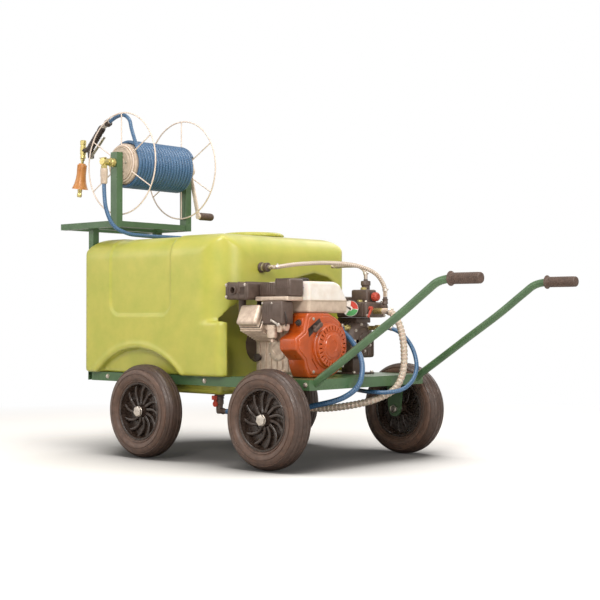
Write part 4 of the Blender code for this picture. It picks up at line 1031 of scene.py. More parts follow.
def bevelEdges(thing, chosen, offset, segments):
    # Rounds the edges whose two ends both pass the test
    pick(thing)
    bpy.ops.object.mode_set(mode="EDIT")
    bpy.ops.mesh.select_mode(type="EDGE")
    bpy.ops.mesh.select_all(action="DESELECT")
    bpy.ops.object.mode_set(mode="OBJECT")
    points = thing.data.vertices
    for edge in thing.data.edges:
        a, b = (points[i].co for i in edge.vertices)
        edge.select = chosen(a, b)
    bpy.ops.object.mode_set(mode="EDIT")
    bpy.ops.mesh.bevel(offset=offset, segments=segments, clamp_overlap=False)
    bpy.ops.object.mode_set(mode="OBJECT")
    return thing


def upright(a, b):
    return abs(a.x - b.x) < 1e-4 and abs(a.y - b.y) < 1e-4


def smoothStep(value):
    value = min(max(value, 0.0), 1.0)
    return value * value * (3 - 2 * value)


def tankShell():
    t = tank
    side = t["halfWidth"]
    body = block((t["wingRear"], -side, t["bottom"]), (t["front"], side, t["top"]))
    bevelEdges(body, lambda a, b: upright(a, b) and a.x > 0 and a.y < 0, t["nearFrontCorner"], 12)
    bevelEdges(body, lambda a, b: upright(a, b) and a.x > 0 and a.y > side - 0.01, t["farFrontCorner"], 10)
    bevelEdges(body, lambda a, b: upright(a, b) and a.x < t["wingRear"] + 0.001, t["rearCorner"], 8)
    r, low, slack = t["topRound"], t["bottom"] - 0.01, 0.0004
    over = t["top"] - r
    across = arcPoints((-side - slack + r, over), r, 180, 90, 10)
    across += arcPoints((side + slack - r, over), r, 90, 0, 10)
    along = arcPoints((t["wingRear"] - slack + r, over), r, 180, 90, 10)
    along += arcPoints((t["front"] + slack - r, over), r, 90, 0, 10)
    across = [(-1, y, z) for y, z in [(-side - slack, low), *across, (side + slack, low)]]
    along = [(x, -1, z) for x, z in [(t["wingRear"] - slack, low), *along, (t["front"] + slack, low)]]
    shaped(body, slab(across, (2, 0, 0)), "INTERSECT")
    shaped(body, slab(along, (0, 2, 0)), "INTERSECT")
    for sign in (-1, 1):
        inner, outer = sorted((sign * (side - 0.16), sign * side))
        foot = block((-0.26, inner, t["bottom"]), (t["front"], outer, t["ledge"]))
        bevelEdges(
            foot, lambda a, b: upright(a, b) and a.x > 0 and abs(a.y) > side - 0.01, t["footCorner"], 8
        )
        bevelEdges(foot, lambda a, b: min(a.z, b.z) > t["ledge"] - 1e-4, 0.01, 3)
        shaped(body, foot, "UNION")
        flare = lathe(
            [
                (t["archRadius"] + 0.015 + 0.013 * math.cos(a), 0.013 * math.sin(a))
                for a in [math.pi * i / 6 for i in range(12)]
            ],
            (t["archCentre"][0], sign * (side - 0.0085), t["archCentre"][1]),
            alongY,
            96,
            True,
        )
        shaped(flare, block((-1.5, -1, t["bottom"]), (0.5, 1, 1)), "INTERSECT")
        shaped(body, flare, "UNION")
    shaped(body, block((-1, -t["wingInner"], 0), (t["rear"], t["wingInner"], 1)))
    sump = block((-0.33, -0.3, 0.248), (-0.008, 0.3, t["bottom"] + 0.02), 0.02, 4)
    shaped(body, sump, "UNION")
    outline = [(t["front"] - 0.13, y, z) for y, z in recessOutline]
    shaped(body, slab(outline, (0.3, 0, 0)))
    for sign in (-1, 1):
        x, z = t["archCentre"]
        shaped(body, cylinder((x, sign * t["archFloor"], z), (x, sign * 0.5, z), t["archRadius"], 96))
    x, y = t["lid"]
    shaped(body, cylinder((x, y, t["top"] - 0.18), (x, y, t["top"] + 0.1), t["lidRadius"] - 0.03, 48))
    return body


def tankPanels(body):
    # The shallow moulded panel on each side, which runs up over the shoulder
    panel = tank["panel"]
    normals = [v.normal.copy() for v in body.data.vertices]
    middle = (panel["rear"] + panel["front"]) / 2
    half = (panel["front"] - panel["rear"]) / 2
    for vertex, normal in zip(body.data.vertices, normals):
        co = vertex.co
        endOrMiddle = normal.x**2 > 0.3 or abs(co.y) < 0.2
        facingIn = normal.y * co.y < -0.01 or abs(co.y) < 0.3 and normal.z < 0.4
        if endOrMiddle or facingIn:
            continue
        if co.z < panel["low"] - 0.02:
            continue
        dx = abs(co.x - middle) - (half - panel["corner"])
        dz = panel["low"] + panel["corner"] - co.z
        outside = math.hypot(max(dx, 0), max(dz, 0)) + min(max(dx, dz), 0) - panel["corner"]
        reach = (abs(co.y) - 0.215) / 0.02 if normal.z > 0.5 else 1.0
        share = smoothStep(0.5 - outside / panel["soft"]) * smoothStep(reach)
        vertex.co = co - normal * (panel["depth"] * share)


def makeTank():
    body = applied(tankShell(), "REMESH", mode="VOXEL", voxel_size=tank["voxel"])
    applied(body, "SMOOTH", factor=0.5, iterations=9)
    tankPanels(body)
    applied(body, "SMOOTH", factor=0.35, iterations=1)
    pick(body)
    bpy.ops.object.shade_smooth()
    x, y = tank["lid"]
    outer = tank["lidRadius"] - 0.018
    inner = tank["lidRadius"] - 0.03
    profile = [
        (inner, -0.17), (outer, -0.006), (outer, 0.0), (outer - 0.0015, 0.002), (outer - 0.0015, 0.0085),
        (outer - 0.003, 0.01), (inner + 0.002, 0.01), (inner, 0.008),
    ]
    neck = lathe(profile, (x, y, tank["top"]), alongZ, 64, True)
    hinge = Vector((x - tank["lidRadius"] - 0.012, y, tank["top"] + tank["neck"] + gap + 0.004))
    pieces = [body, neck]
    for sign in (-1, 1):
        low, high = sorted((y + sign * (0.02 + gap), y + sign * 0.028))
        pieces.append(
            block(
                (hinge.x - 0.006, low, tank["top"] - 0.004), (hinge.x + 0.006, high, hinge.z + 0.005), 0.002,
                3,
            )
        )
    pieces.append(cylinder(hinge - Vector((0, 0.0295, 0)), hinge + Vector((0, 0.0295, 0)), 0.002, 16))
    finishPiece("tankShell", pieces, "rotomouldedPolyethylene", "cart", "tank", 40)


def makeLid():
    x, y = tank["lid"]
    seat = tank["top"] + tank["neck"] + gap
    radius = tank["lidRadius"]
    profile = [
        (0, 0), (radius - 0.004, 0), (radius, 0.002), (radius, 0.009), (radius - 0.004, 0.0135),
        (radius - 0.012, 0.016), (radius - 0.022, 0.0165), (radius - 0.026, 0.0145), (radius - 0.06, 0.0145),
        (radius - 0.064, 0.017), (0, 0.0178),
    ]
    lid = lathe(profile, (x, y, seat), alongZ, 72)
    grips = []
    for i in range(24):
        angle = 2 * math.pi * i / 24
        if abs(angle - math.pi) < 0.3:
            continue
        at = Vector(
            (x + (radius + 0.0005) * math.cos(angle), y + (radius + 0.0005) * math.sin(angle), seat + 0.0055)
        )
        grips.append(
            block(at - Vector((0.003, 0.004, 0.0035)), at + Vector((0.002, 0.004, 0.0035)), 0.0012, 2)
        )
        turned(grips[-1], math.degrees(angle), alongZ, at)
    hinge = Vector((x - radius - 0.012, y, seat + 0.004))
    tab = block(hinge - Vector((0.004, 0.0196, 0.004)), hinge + Vector((0.03, 0.0196, 0.004)), 0.0015, 2)
    knuckle = lathe(
        [(0.0024, -0.0196), (0.0058, -0.0196), (0.0058, 0.0196), (0.0024, 0.0196)], hinge, alongY, 24, True
    )
    finishPiece("tankLid", [lid, *grips, tab, knuckle], "rotomouldedPolyethylene", "tank_lid", "tank_lid", 40)


makeTank()
makeLid()
print("tank ready")

# wheels

wheel = {
    "radius": 0.18,
    "treadFrom": 0.1625,
    "bead": 0.108,
    "beadWidth": 0.066,
    "hub": 0.025,
    "hubLength": 0.072,
    "bore": 0.0104,
    "blades": 12,
    "bladeSweep": 26.0,
    "places": {"rear": -0.325, "front": 0.325},
    "track": 0.395,
}


def tyreProfile():
    # Half the section of a pneumatic tyre, mirrored: bead, two sidewall rings, shoulder step and ribbed crown
    half = [
        (0.108, 0.033), (0.111, 0.0352), (0.114, 0.0362), (0.1152, 0.0392), (0.118, 0.0408), (0.12, 0.0384),
        (0.1222, 0.0396), (0.125, 0.0434), (0.131, 0.046), (0.137, 0.0474), (0.14, 0.0475), (0.1413, 0.0452),
        (0.1432, 0.0452), (0.1446, 0.0474), (0.15, 0.0466), (0.155, 0.0448), (0.158, 0.043), (0.1594, 0.04),
        (0.1612, 0.0398), (0.1626, 0.0409), (0.166, 0.0385), (0.1695, 0.0352), (0.172, 0.0318),
        (0.1716, 0.03), (0.1722, 0.0284), (0.1752, 0.0262), (0.1772, 0.0222), (0.1784, 0.0186),
        (0.1766, 0.0174), (0.1766, 0.015), (0.1788, 0.0138), (0.1797, 0.0092), (0.1799, 0.0052),
        (0.178, 0.004), (0.178, 0.001),
    ]
    return [(r, -y) for r, y in half] + [(r, y) for r, y in reversed(half)]


def makeTyre():
    tyre = lathe(tyreProfile(), origin, alongY, 120, True)
    painted(tyre, finish["vulcanisedRubber"])
    # faces past treadFrom take the darker crown rubber
    tyre.data.materials.append(finish["darkerCrownRubber"])
    for face in tyre.data.polygons:
        centre = tyre.matrix_world @ face.center
        face.material_index = int(math.hypot(centre.x, centre.z) > wheel["treadFrom"])
    return tyre


def makeBlade():
    # One curved blade of the fan-like rim, thick at the hub, twisted and swept
    inner, outer = wheel["hub"] - 0.002, wheel["bead"] - 0.0055
    steps = 9
    points = []
    for i in range(steps):
        share = i / (steps - 1)
        angle = math.radians(wheel["bladeSweep"]) * share**1.6
        radius = inner + (outer - inner) * share
        points.append(Vector((radius * math.cos(angle), 0, radius * math.sin(angle))))
    thing = drawn(points)
    bpy.ops.mesh.extrude_edges_move(TRANSFORM_OT_translate={"value": (0, 0.034, 0)})
    bpy.ops.object.mode_set(mode="OBJECT")
    for vertex in thing.data.vertices:
        world = thing.matrix_world @ vertex.co
        share = (math.hypot(world.x, world.z) - inner) / (outer - inner)
        waist = 1.0 - 0.26 * math.sin(math.pi * min(share, 1))
        world.y = (world.y - 0.014) * waist + (0.004 if share > 0.5 else 0.002)
        vertex.co = thing.matrix_world.inverted() @ world
    settle(thing)
    applied(thing, "SOLIDIFY", thickness=0.0125, offset=0.0)
    return bevelled(thing, 0.005, 3, 40)


def makeRim():
    # A moulded rim: channel with rolled lips, web ring, blades, ribbed hub, turned over for the near side
    seat = wheel["bead"] - 0.0004
    half = wheel["beadWidth"] / 2
    lip = wheel["bead"] + 0.0033
    profile = [
        (seat - 0.0045, -half - 0.003), (seat - 0.003, -half - 0.005), (lip - 0.0008, -half - 0.005),
        (lip, -half - 0.0042), (lip - 0.0006, -half - 0.0026), (seat, -half - 0.0018), (seat, half + 0.0018),
        (lip - 0.0006, half + 0.0026), (lip, half + 0.0042), (lip - 0.0008, half + 0.005),
        (seat - 0.003, half + 0.005), (seat - 0.0045, half + 0.003), (seat - 0.005, half - 0.006),
        (seat - 0.0095, half - 0.013), (seat - 0.01, 0.004), (seat - 0.01, -0.004),
        (seat - 0.0095, -half + 0.013), (seat - 0.005, -half + 0.006),
    ]
    pieces = [lathe(profile, origin, alongY, 96, True)]
    hub, length = wheel["hub"], wheel["hubLength"] / 2
    bore = wheel["bore"]
    hubProfile = [
        (bore, -length), (0.0165, -length), (0.0185, -length + 0.002), (0.02, -length + 0.012),
        (hub, -length + 0.02), (hub, length - 0.02), (0.02, length - 0.012), (0.0185, length - 0.002),
        (0.0165, length), (bore, length),
    ]
    pieces.append(lathe(hubProfile, origin, alongY, 48, True))
    ring = [(0.056, -0.007), (0.0592, -0.007), (0.0598, 0.0), (0.0592, 0.007), (0.056, 0.007), (0.0554, 0.0)]
    pieces.append(lathe(ring, origin, alongY, 72, True))
    web = [
        (hub - 0.002, -0.003), (0.098, -0.006), (seat - 0.008, -0.006), (seat - 0.008, 0.006), (0.098, 0.006),
        (hub - 0.002, 0.003),
    ]
    pieces.append(lathe(web, origin, alongY, 72, True))
    blade = makeBlade()
    pieces += setRound(blade, wheel["blades"], alongY, origin)
    return painted(joined(pieces), finish["glassFilledNylon"])


def makeWheels():
    tyre = makeTyre()
    rim = makeRim()
    for end, x in wheel["places"].items():
        for name, side in (("near", -1), ("far", 1)):
            place = Matrix.Translation((x, side * wheel["track"], wheel["radius"]))
            turn = Matrix.Rotation(math.radians(17 if end == "rear" else 4), 4, "Y")
            flip = Matrix.Rotation(math.pi, 4, "X") if side < 0 else Matrix.Identity(4)
            for piece, label in ((tyre, "tyre"), (rim, "rim")):
                thing = copied(piece)
                thing.data.transform(place @ turn @ flip)
                finishPiece(
                    f"{label}_{end}_{name}_dressed", thing, None, f"wheel_{end}_{name}",
                    f"{label}_{end}_{name}", 32,
                )
    bpy.data.objects.remove(tyre)
    bpy.data.objects.remove(rim)


def makeAxles():
    # Axle ends that show: the hexagon nut with its domed cap and washer, and the bolt on the bracket
    for end, x in wheel["places"].items():
        for name, side in (("near", -1), ("far", 1)):
            out = Vector((0, side, 0))
            face = Vector((x, side * (wheel["track"] + wheel["hubLength"] / 2 + gap), wheel["radius"]))
            shaft = cylinder(Vector((x, side * 0.322, 0.18)), face + out * 0.006, 0.01, 32)
            washer = lathe(
                [(0, 0), (0.0195, 0), (0.0205, 0.0008), (0.0195, 0.002), (0, 0.002)], face, out, 40
            )
            nut = cylinder(face + out * 0.0018, face + out * 0.0088, 0.0205, 6)
            turned(nut, 11, alongY, face)
            bevelled(nut, 0.0013, 3)
            dome = lathe(
                [(0, 0.0078), (0.0135, 0.0078), (0.0125, 0.0089), (0.008, 0.0097), (0, 0.0099)], face, out, 32
            )
            inner = Vector((x, side * 0.322, 0.18))
            head = cylinder(inner, inner + out * 0.0105, 0.016, 6)
            bevelled(head, 0.0015, 2)
            bush = lathe(
                [(0.0102, 0.34), (0.0158, 0.34), (0.0158, 0.358), (0.0102, 0.358)], (x, 0, 0.18), out, 32,
                True,
            )
            pieces = [shaft, washer, nut, dome, head, bush]
            finishPiece(f"axleBolt_{end}_{name}", pieces, "zincPlatedSteel", "cart", f"axle_{end}_{name}", 32)


makeWheels()
makeAxles()
print("wheels ready")

# the engine set, seen from the handles

engine = {
    "crank": (-0.14, 0.437),
    "floor": 0.3223,
    "shroudRear": 0.3,
    "shroudFront": 0.385,
    "shroudTop": 0.5565,
    "slots": 26,
    "slotReach": (0.0585, 0.0735),
    "tilt": -25.0,
    "root": (0.0, -0.14, 0.455),
    "fins": 8,
    "finPitch": 0.0128,
}


def tilted(thing):
    # From the cylinder's own frame, where -Y runs to its head
    thing.data.transform(
        Matrix.Translation(engine["root"]) @ Matrix.Rotation(math.radians(engine["tilt"]), 4, "X")
    )
    return thing


def makeShroud():
    e = engine
    y, z = e["crank"]
    floor, top = e["floor"], e["shroudTop"]
    outline = [
        (-0.242, floor + 0.001), (-0.14, floor), *arcPoints((y, z), 0.1145, -80, 75, 20), (-0.13, top),
        (-0.24, top), (-0.253, top - 0.01), (-0.268, 0.49), (-0.313, 0.465), (-0.313, 0.425), (-0.268, 0.388),
        (-0.262, 0.36),
    ]
    body = slab([(e["shroudRear"], *p) for p in outline], (e["shroudFront"] - e["shroudRear"] - 0.004, 0, 0))
    bevelled(body, 0.007, 3, 40)
    face = [((p[0] - y) * 0.9 + y - 0.003, (p[1] - z) * 0.9 + z) for p in outline]
    raised = slab([(e["shroudFront"] - 0.01, *p) for p in face], (0.01, 0, 0))
    bevelled(raised, 0.0045, 3, 40)
    profile = [
        (0, -0.01), (0.085, -0.01), (0.085, 0.004), (0.0838, 0.0062), (0.0815, 0.0072), (0.0795, 0.0084),
        (0.0785, 0.0165), (0.077, 0.0188), (0.0745, 0.02), (0.056, 0.0222), (0.0545, 0.021), (0.052, 0.021),
        (0.0505, 0.0228), (0.044, 0.0245), (0.0425, 0.0268), (0.04, 0.0275), (0.02, 0.028), (0.0185, 0.0262),
        (0, 0.0262),
    ]
    dome = lathe(profile, (e["shroudFront"], y, z), alongX, 96)
    inner, outer = e["slotReach"]
    slot = block(
        (e["shroudFront"] + 0.012, y - 0.0022, z + inner), (e["shroudFront"] + 0.03, y + 0.0022, z + outer)
    )
    shaped(dome, joined(setRound(slot, e["slots"], alongX, (0, y, z))))
    scoop = slab(
        [(e["shroudFront"] - 0.006, *p) for p in ((-0.226, 0.366), (-0.232, 0.398), (-0.196, 0.352))],
        (0.02, 0, 0),
    )
    shaped(raised, scoop)
    pad = block((0.342, -0.266, 0.506), (0.37, -0.246, 0.538), 0.004, 3)
    finishPiece("fanShroud", [body, raised, dome, pad], "bakedEnamelSteel", "cart", "fan_shroud", 30)
    bolts = [
        hexBolt((e["shroudFront"], *p), alongX, 0.008, 0.0035)
        for p in ((-0.222, 0.536), (-0.06, 0.512), (-0.058, 0.362), (-0.222, 0.345))
    ]
    for angle in (35, 155, 275):
        a = math.radians(angle)
        bolts.append(
            hexBolt(
                (e["shroudFront"] + 0.0075, y + 0.0815 * math.cos(a), z + 0.0815 * math.sin(a)), alongX,
                0.006, 0.003, False,
            )
        )
    finishPiece("shroudBolts", bolts, "zincPlatedSteel")
    # Painted shade: a thin black sheet on the fan cover's face stands for the dark hollow round the pull
    # handle
    mouthShadeSheet = slab(
        [
            (e["shroudFront"] + 0.0001, *p)
            for p in ((-0.246, 0.47), (-0.252, 0.5), (-0.19, 0.538), (-0.178, 0.522))
        ],
        (0.0006, 0, 0),
    )
    finishPiece("pullMouthShadeSheet", mouthShadeSheet, "mouldedBlackNylon")


def makePull():
    x, y, z = engine["shroudFront"] + gap, -0.218, 0.505
    stem = lathe(
        [(0, 0.0008), (0.0078, 0.0008), (0.0078, 0.006), (0.006, 0.009), (0.006, 0.016), (0, 0.016)],
        (x, y, z), alongX, 32,
    )
    bar = block((x + 0.012, y - 0.026, z - 0.0072), (x + 0.0248, y + 0.026, z + 0.0072), 0.0052, 4)
    ribs = [
        block((x + 0.0116, y + k - 0.0012, z - 0.0075), (x + 0.0249, y + k + 0.0012, z + 0.0075), 0.001, 1)
        for k in (-0.018, -0.012, 0.012, 0.018)
    ]
    for thing in (bar, *ribs):
        turned(thing, 35, alongX, (x, y, z))
    finishPiece("pullHandle", [stem, bar, *ribs], "mouldedGripRubber", "pull_handle", "pull_handle")


def makeFuelTank():
    low = engine["shroudTop"] + gap
    outline = [
        (-0.2345, low), (-0.013, low), (-0.013, low + 0.05), (-0.058, low + 0.108), (-0.088, low + 0.1155),
        (-0.2345, low + 0.1155),
    ]
    body = slab([(0.16, *p) for p in outline], (0.214, 0, 0))
    bevelled(body, 0.013, 5, 25)
    lower = shaped(copied(body), block((0, -1, 0.3), (1, 1, 0.6005)), "INTERSECT")
    upper = shaped(body, block((0, -1, 0.3), (1, 1, 0.6045)))
    flange = block((0.1575, -0.237, 0.601), (0.3765, -0.011, 0.604))
    bevelEdges(flange, upright, 0.014, 5)
    neck = lathe(
        [(0.015, 0.11), (0.0245, 0.11), (0.0245, 0.1152), (0.0225, 0.1154), (0.015, 0.1154)],
        (0.27, -0.15, low), alongZ, 48, True,
    )
    finishPiece("fuelTankUpper", [upper, neck], "blowMouldedPolyethylene", "cart", "fuel_tank", 40)
    # Painted shade: the lower half and its seam flange take the darker beige polyamide, below the white upper
    # half
    finishPiece("fuelTankLowerShaded", [lower, flange], "mouldedPalePolyamide", "cart", "fuel_tank", 40)
    at = (0.27, -0.15, engine["shroudTop"] + 0.1158)
    cap = lathe(
        [
            (0, 0), (0.0215, 0), (0.0215, 0.0105), (0.0205, 0.0125), (0.0165, 0.014), (0.015, 0.0132),
            (0, 0.0132),
        ],
        at, alongZ, 48,
    )
    grip = block(
        (at[0] + 0.0205, at[1] - 0.0018, at[2] + 0.001), (at[0] + 0.0234, at[1] + 0.0018, at[2] + 0.0115),
        0.0009, 1,
    )
    grips = setRound(grip, 24, alongZ, at)
    bar = block(
        (at[0] - 0.014, at[1] - 0.003, at[2] + 0.012), (at[0] + 0.014, at[1] + 0.003, at[2] + 0.0158), 0.0012,
        2,
    )
    finishPiece("fuelCap", [cap, *grips, bar], "mouldedBlackNylon", "fuel_cap", "fuel_cap")


def makeAirCleaner():
    near = -0.315
    box = block((0.275, near + 0.002, 0.617), (0.352, -0.2356, 0.68), 0.009, 4)
    duct = block((0.192, near + 0.012, 0.617), (0.282, -0.236, 0.666), 0.007, 3)
    throat = block((0.285, near + 0.004, 0.6003), (0.34, -0.272, 0.622), 0.003, 2)
    ribs = [
        block((x, near, 0.624), (x + 0.0028, -0.24, 0.6818), 0.001, 2)
        for x in (0.284, 0.2935, 0.303, 0.3125, 0.322, 0.3315, 0.341)
    ]
    ribs += [
        block((x, near + 0.0105, 0.622), (x + 0.0026, -0.242, 0.6678), 0.001, 2)
        for x in (0.199, 0.2085, 0.218, 0.2275, 0.237, 0.2465, 0.256)
    ]
    ribs += [
        block((0.3505, y, 0.624), (0.3519, y + 0.0026, 0.674), 0.0005, 1)
        for y in (-0.303, -0.291, -0.279, -0.267, -0.255)
    ]
    seam = block((0.2738, near + 0.0008, 0.6475), (0.3519, -0.2356, 0.6505), 0.0012, 2)
    nut = lathe(
        [(0, 0), (0.01, 0), (0.01, 0.0012), (0.008, 0.0019), (0, 0.0019)], (0.314, -0.276, 0.68), alongZ, 24
    )
    bridge = block((0.189, near - 0.0065, 0.6006), (0.348, -0.236, 0.6166), 0.0035, 3)
    finishPiece("intakeBridge", bridge, "dieCastAluminium")
    finishPiece("airCleaner", [box, duct, throat, *ribs, seam, nut], "sparkErodedAbs", "cart", "air_cleaner")


def makeMuffler():
    near = -0.36
    box = block((0.07, near, 0.606), (0.186, -0.2356, 0.67), 0.01, 4)
    shaped(box, cylinder((0.118, near - 0.02, 0.64), (0.118, near + 0.022, 0.64), 0.0112, 32))
    shaped(box, block((0.15, near - 0.01, 0.624), (0.172, near + 0.006, 0.652)))
    ring = lathe(
        [
            (0.0112, -0.004), (0.015, -0.004), (0.015, 0.0055), (0.014, 0.0078), (0.0118, 0.0078),
            (0.0112, 0.0065),
        ],
        (0.118, near, 0.64), nearward, 48, True,
    )
    guards = [
        block((0.152 + 0.0052 * i, near + 0.001, 0.622), (0.1545 + 0.0052 * i, near + 0.0035, 0.654))
        for i in range(4)
    ]
    band = [
        block((x, near - 0.0012, 0.6055), (x + 0.004, -0.2358, 0.6712), 0.001, 2)
        for x in (0.088, 0.1385, 0.1775)
    ]
    pipe = cylinder((0.1065, -0.303, 0.515), (0.1065, -0.303, 0.61), 0.014, 32)
    collar = block((0.0885, -0.3175, 0.5152), (0.1245, -0.2885, 0.523), 0.003, 2)
    lever = block((0.14, near - 0.0075, 0.628), (0.147, near - 0.001, 0.6355), 0.002, 2)
    finishPiece(
        "muffler", [box, ring, *guards, *band, pipe, collar, lever], "sparkErodedAbs", "cart", "muffler"
    )
    heads = [
        hexBolt((x, near - 0.0002, z), nearward, 0.008, 0.004)
        for x, z in ((0.08, 0.616), (0.08, 0.66), (0.176, 0.66))
    ]
    finishPiece("mufflerBolts", heads, "zincPlatedSteel")


def makeCarburettor():
    near = -0.338
    body = block((0.2356, near, 0.516), (0.3355, -0.2728, 0.6), 0.007, 3)
    throat = cylinder((0.2356, -0.306, 0.508), (0.332, -0.306, 0.508), 0.015, 32)
    ribs = [
        block((0.246 + 0.012 * i, near - 0.0012, 0.54), (0.249 + 0.012 * i, near + 0.003, 0.592), 0.0006, 1)
        for i in range(4)
    ]
    plate = block((0.294, near - 0.001, 0.545), (0.33, near + 0.004, 0.588), 0.0009, 2)
    finishPiece("carburettorCover", [body, *ribs, plate], "sparkErodedAbs", "cart", "carburettor")
    profile = [
        (0, -0.02), (0.02, -0.02), (0.02, -0.008), (0.0218, -0.007), (0.0218, -0.003), (0.0195, -0.002),
        (0.019, 0.018), (0.0165, 0.026), (0.01, 0.03), (0.006, 0.031), (0.006, 0.036), (0, 0.036),
    ]
    bowl = lathe(profile, (0.275, -0.322, 0.494), (0, 0, -1), 48)
    nut = cylinder((0.275, -0.322, 0.4525), (0.275, -0.322, 0.46), 0.0075, 6)
    cup = lathe(
        [(0, 0), (0.01, 0), (0.01, 0.02), (0.008, 0.024), (0, 0.025)], (0.312, -0.322, 0.512), (0, 0, -1), 32
    )
    finishPiece("carburettorBowl", [throat, bowl, nut, cup], "dieCastAluminium", "cart", "carburettor")
    screws = [
        hexBolt(p, nearward, 0.007, 0.0034, False)
        for p in ((0.243, near, 0.592), (0.243, near, 0.524), (0.2895, near, 0.592))
    ]
    line = wire(
        smoothRoute(
            [
                (0.322, -0.3, 0.56), (0.327, -0.312, 0.566), (0.338, -0.322, 0.556), (0.342, -0.316, 0.53),
                (0.332, -0.312, 0.512), (0.325, -0.305, 0.505),
            ],
            0.004,
        ),
        0.0026, 3,
    )
    finishPiece("carburettorScrews", [*screws], "zincPlatedSteel")
    finishPiece("fuelLine", line, "mouldedBlackNylon")
    at = (0.322, near - gap, 0.515)
    disc = lathe([(0, 0), (0.0068, 0), (0.0068, 0.0045), (0.0058, 0.006), (0, 0.006)], at, nearward, 32)
    arm = block(
        (at[0] - 0.04, at[1] - 0.0042, at[2] - 0.0038), (at[0], at[1] - 0.0015, at[2] + 0.0038), 0.0012, 2
    )
    tip = block(
        (at[0] - 0.04, at[1] - 0.0058, at[2] - 0.0045), (at[0] - 0.034, at[1] - 0.0012, at[2] + 0.0045),
        0.001, 2,
    )
    for thing in (arm, tip):
        turned(thing, 25, alongY, at)
    finishPiece("chokeLever", [disc, arm, tip], "zincPlatedSteel", "choke_lever", "choke_lever")


def makeEngineBlock():
    floor = engine["floor"]
    case = block((0.105, -0.235, floor + 0.008), (0.2997, -0.045, 0.545), 0.016, 4)
    foot = block((0.098, -0.225, floor), (0.2895, -0.055, floor + 0.016), 0.004, 2)
    pieces = [case, foot]
    for x in (0.132, 0.16, 0.188, 0.216, 0.244, 0.272):
        pieces.append(block((x, -0.2385, 0.34), (x + 0.0045, -0.228, 0.52), 0.0015, 2))
    pieces.append(
        lathe(
            [
                (0, 0), (0.044, 0), (0.044, 0.004), (0.041, 0.006), (0.02, 0.0062), (0.018, 0.0045),
                (0, 0.0045),
            ],
            (0.222, -0.235, 0.425), nearward, 48,
        )
    )
    pieces.append(block((0.15, -0.243, 0.333), (0.26, -0.23, 0.347), 0.003, 2))
    core = block((0.128, -0.198, -0.046), (0.234, 0.0, 0.044), 0.006, 3)
    pieces.append(tilted(core))
    for i in range(engine["fins"]):
        y = -0.192 + engine["finPitch"] * i
        pieces.append(tilted(block((0.1255, y, -0.05), (0.2347, y + 0.0042, 0.048), 0.0016, 2)))
    pieces.append(tilted(block((0.1265, -0.2, -0.0455), (0.2345, -0.1915, 0.0455), 0.004, 3)))
    pieces.append(
        lathe(
            [(0, -0.02), (0.045, -0.02), (0.045, 0.0), (0.043, 0.0145), (0, 0.0145)],
            (0.105, *engine["crank"]), (-1, 0, 0), 48,
        )
    )
    finishPiece("engineBlock", pieces, "dieCastAluminium", "cart", "engine_block", 35)
    cover = tilted(block((0.131, -0.2358, -0.0395), (0.2295, -0.206, 0.0395), 0.013, 5))
    lip = tilted(block((0.13, -0.2085, -0.0405), (0.23, -0.2048, 0.0405), 0.0015, 2))
    finishPiece("valveCover", [cover, lip], "dieCastAluminium", "cart", "valve_cover", 35)
    gasket = tilted(block((0.1302, -0.2047, -0.0402), (0.2298, -0.2004, 0.0402), 0.001, 2))
    plug = tilted(cylinder((0.175, -0.188, 0.046), (0.175, -0.188, 0.072), 0.0085, 24))
    boot = tilted(cylinder((0.175, -0.188, 0.066), (0.175, -0.215, 0.083), 0.0075, 24))
    finishPiece("headGasket", [gasket, plug, boot], "mouldedBlackNylon")
    heads = []
    for x in (0.1375, 0.2225):
        for z in (-0.033, 0.033):
            heads.append(tilted(hexBolt((x, -0.2082, z), nearward, 0.009, 0.005)))
    heads += [
        hexBolt(
            (0.222 + 0.037 * math.cos(a), -0.2412, 0.425 + 0.037 * math.sin(a)), nearward, 0.006, 0.003, False
        )
        for a in (0.5, 1.55, 2.6, 3.65, 4.7, 5.75)
    ]
    heads += [hexBolt((x, -0.2432, 0.34), nearward, 0.009, 0.005) for x in (0.16, 0.25)]
    finishPiece("engineBolts", heads, "zincPlatedSteel")
    at = (0.13, -0.235 - gap, 0.392)
    stick = lathe(
        [
            (0, 0), (0.0105, 0), (0.0105, 0.006), (0.0148, 0.007), (0.0148, 0.015), (0.0135, 0.0168),
            (0.008, 0.0168), (0.0075, 0.0152), (0, 0.0152),
        ],
        at, nearward, 40,
    )
    finishPiece("dipstick", stick, "mouldedBlackNylon", "dipstick", "dipstick")
    at = (0.356, -0.2663, 0.522)
    knob = lathe(
        [(0, 0), (0.011, 0), (0.011, 0.0075), (0.01, 0.0092), (0.0062, 0.0096), (0.006, 0.0165), (0, 0.017)],
        at, nearward, 40,
    )
    tab = block(
        (at[0] - 0.0095, at[1] - 0.0168, at[2] - 0.0022), (at[0] + 0.0095, at[1] - 0.0085, at[2] + 0.0022),
        0.001, 2,
    )
    finishPiece("engineSwitch", [knob, tab], "mouldedBlackNylon", "engine_switch", "engine_switch")


makeShroud()
makePull()
makeFuelTank()
makeAirCleaner()
makeMuffler()
makeCarburettor()
makeEngineBlock()
print("engine ready")

# the pump with its control unit

pump = {
    "axis": (0.25, 0.155, 0.462),
    "floor": 0.3223,
    "unitLow": 0.5403,
    "unitTop": 0.6,
    "gauge": (0.285, 0.112, 0.575),
    "gaugeAxis": (0.6, -0.8, 0.0),
    "knobX": 0.345,
}


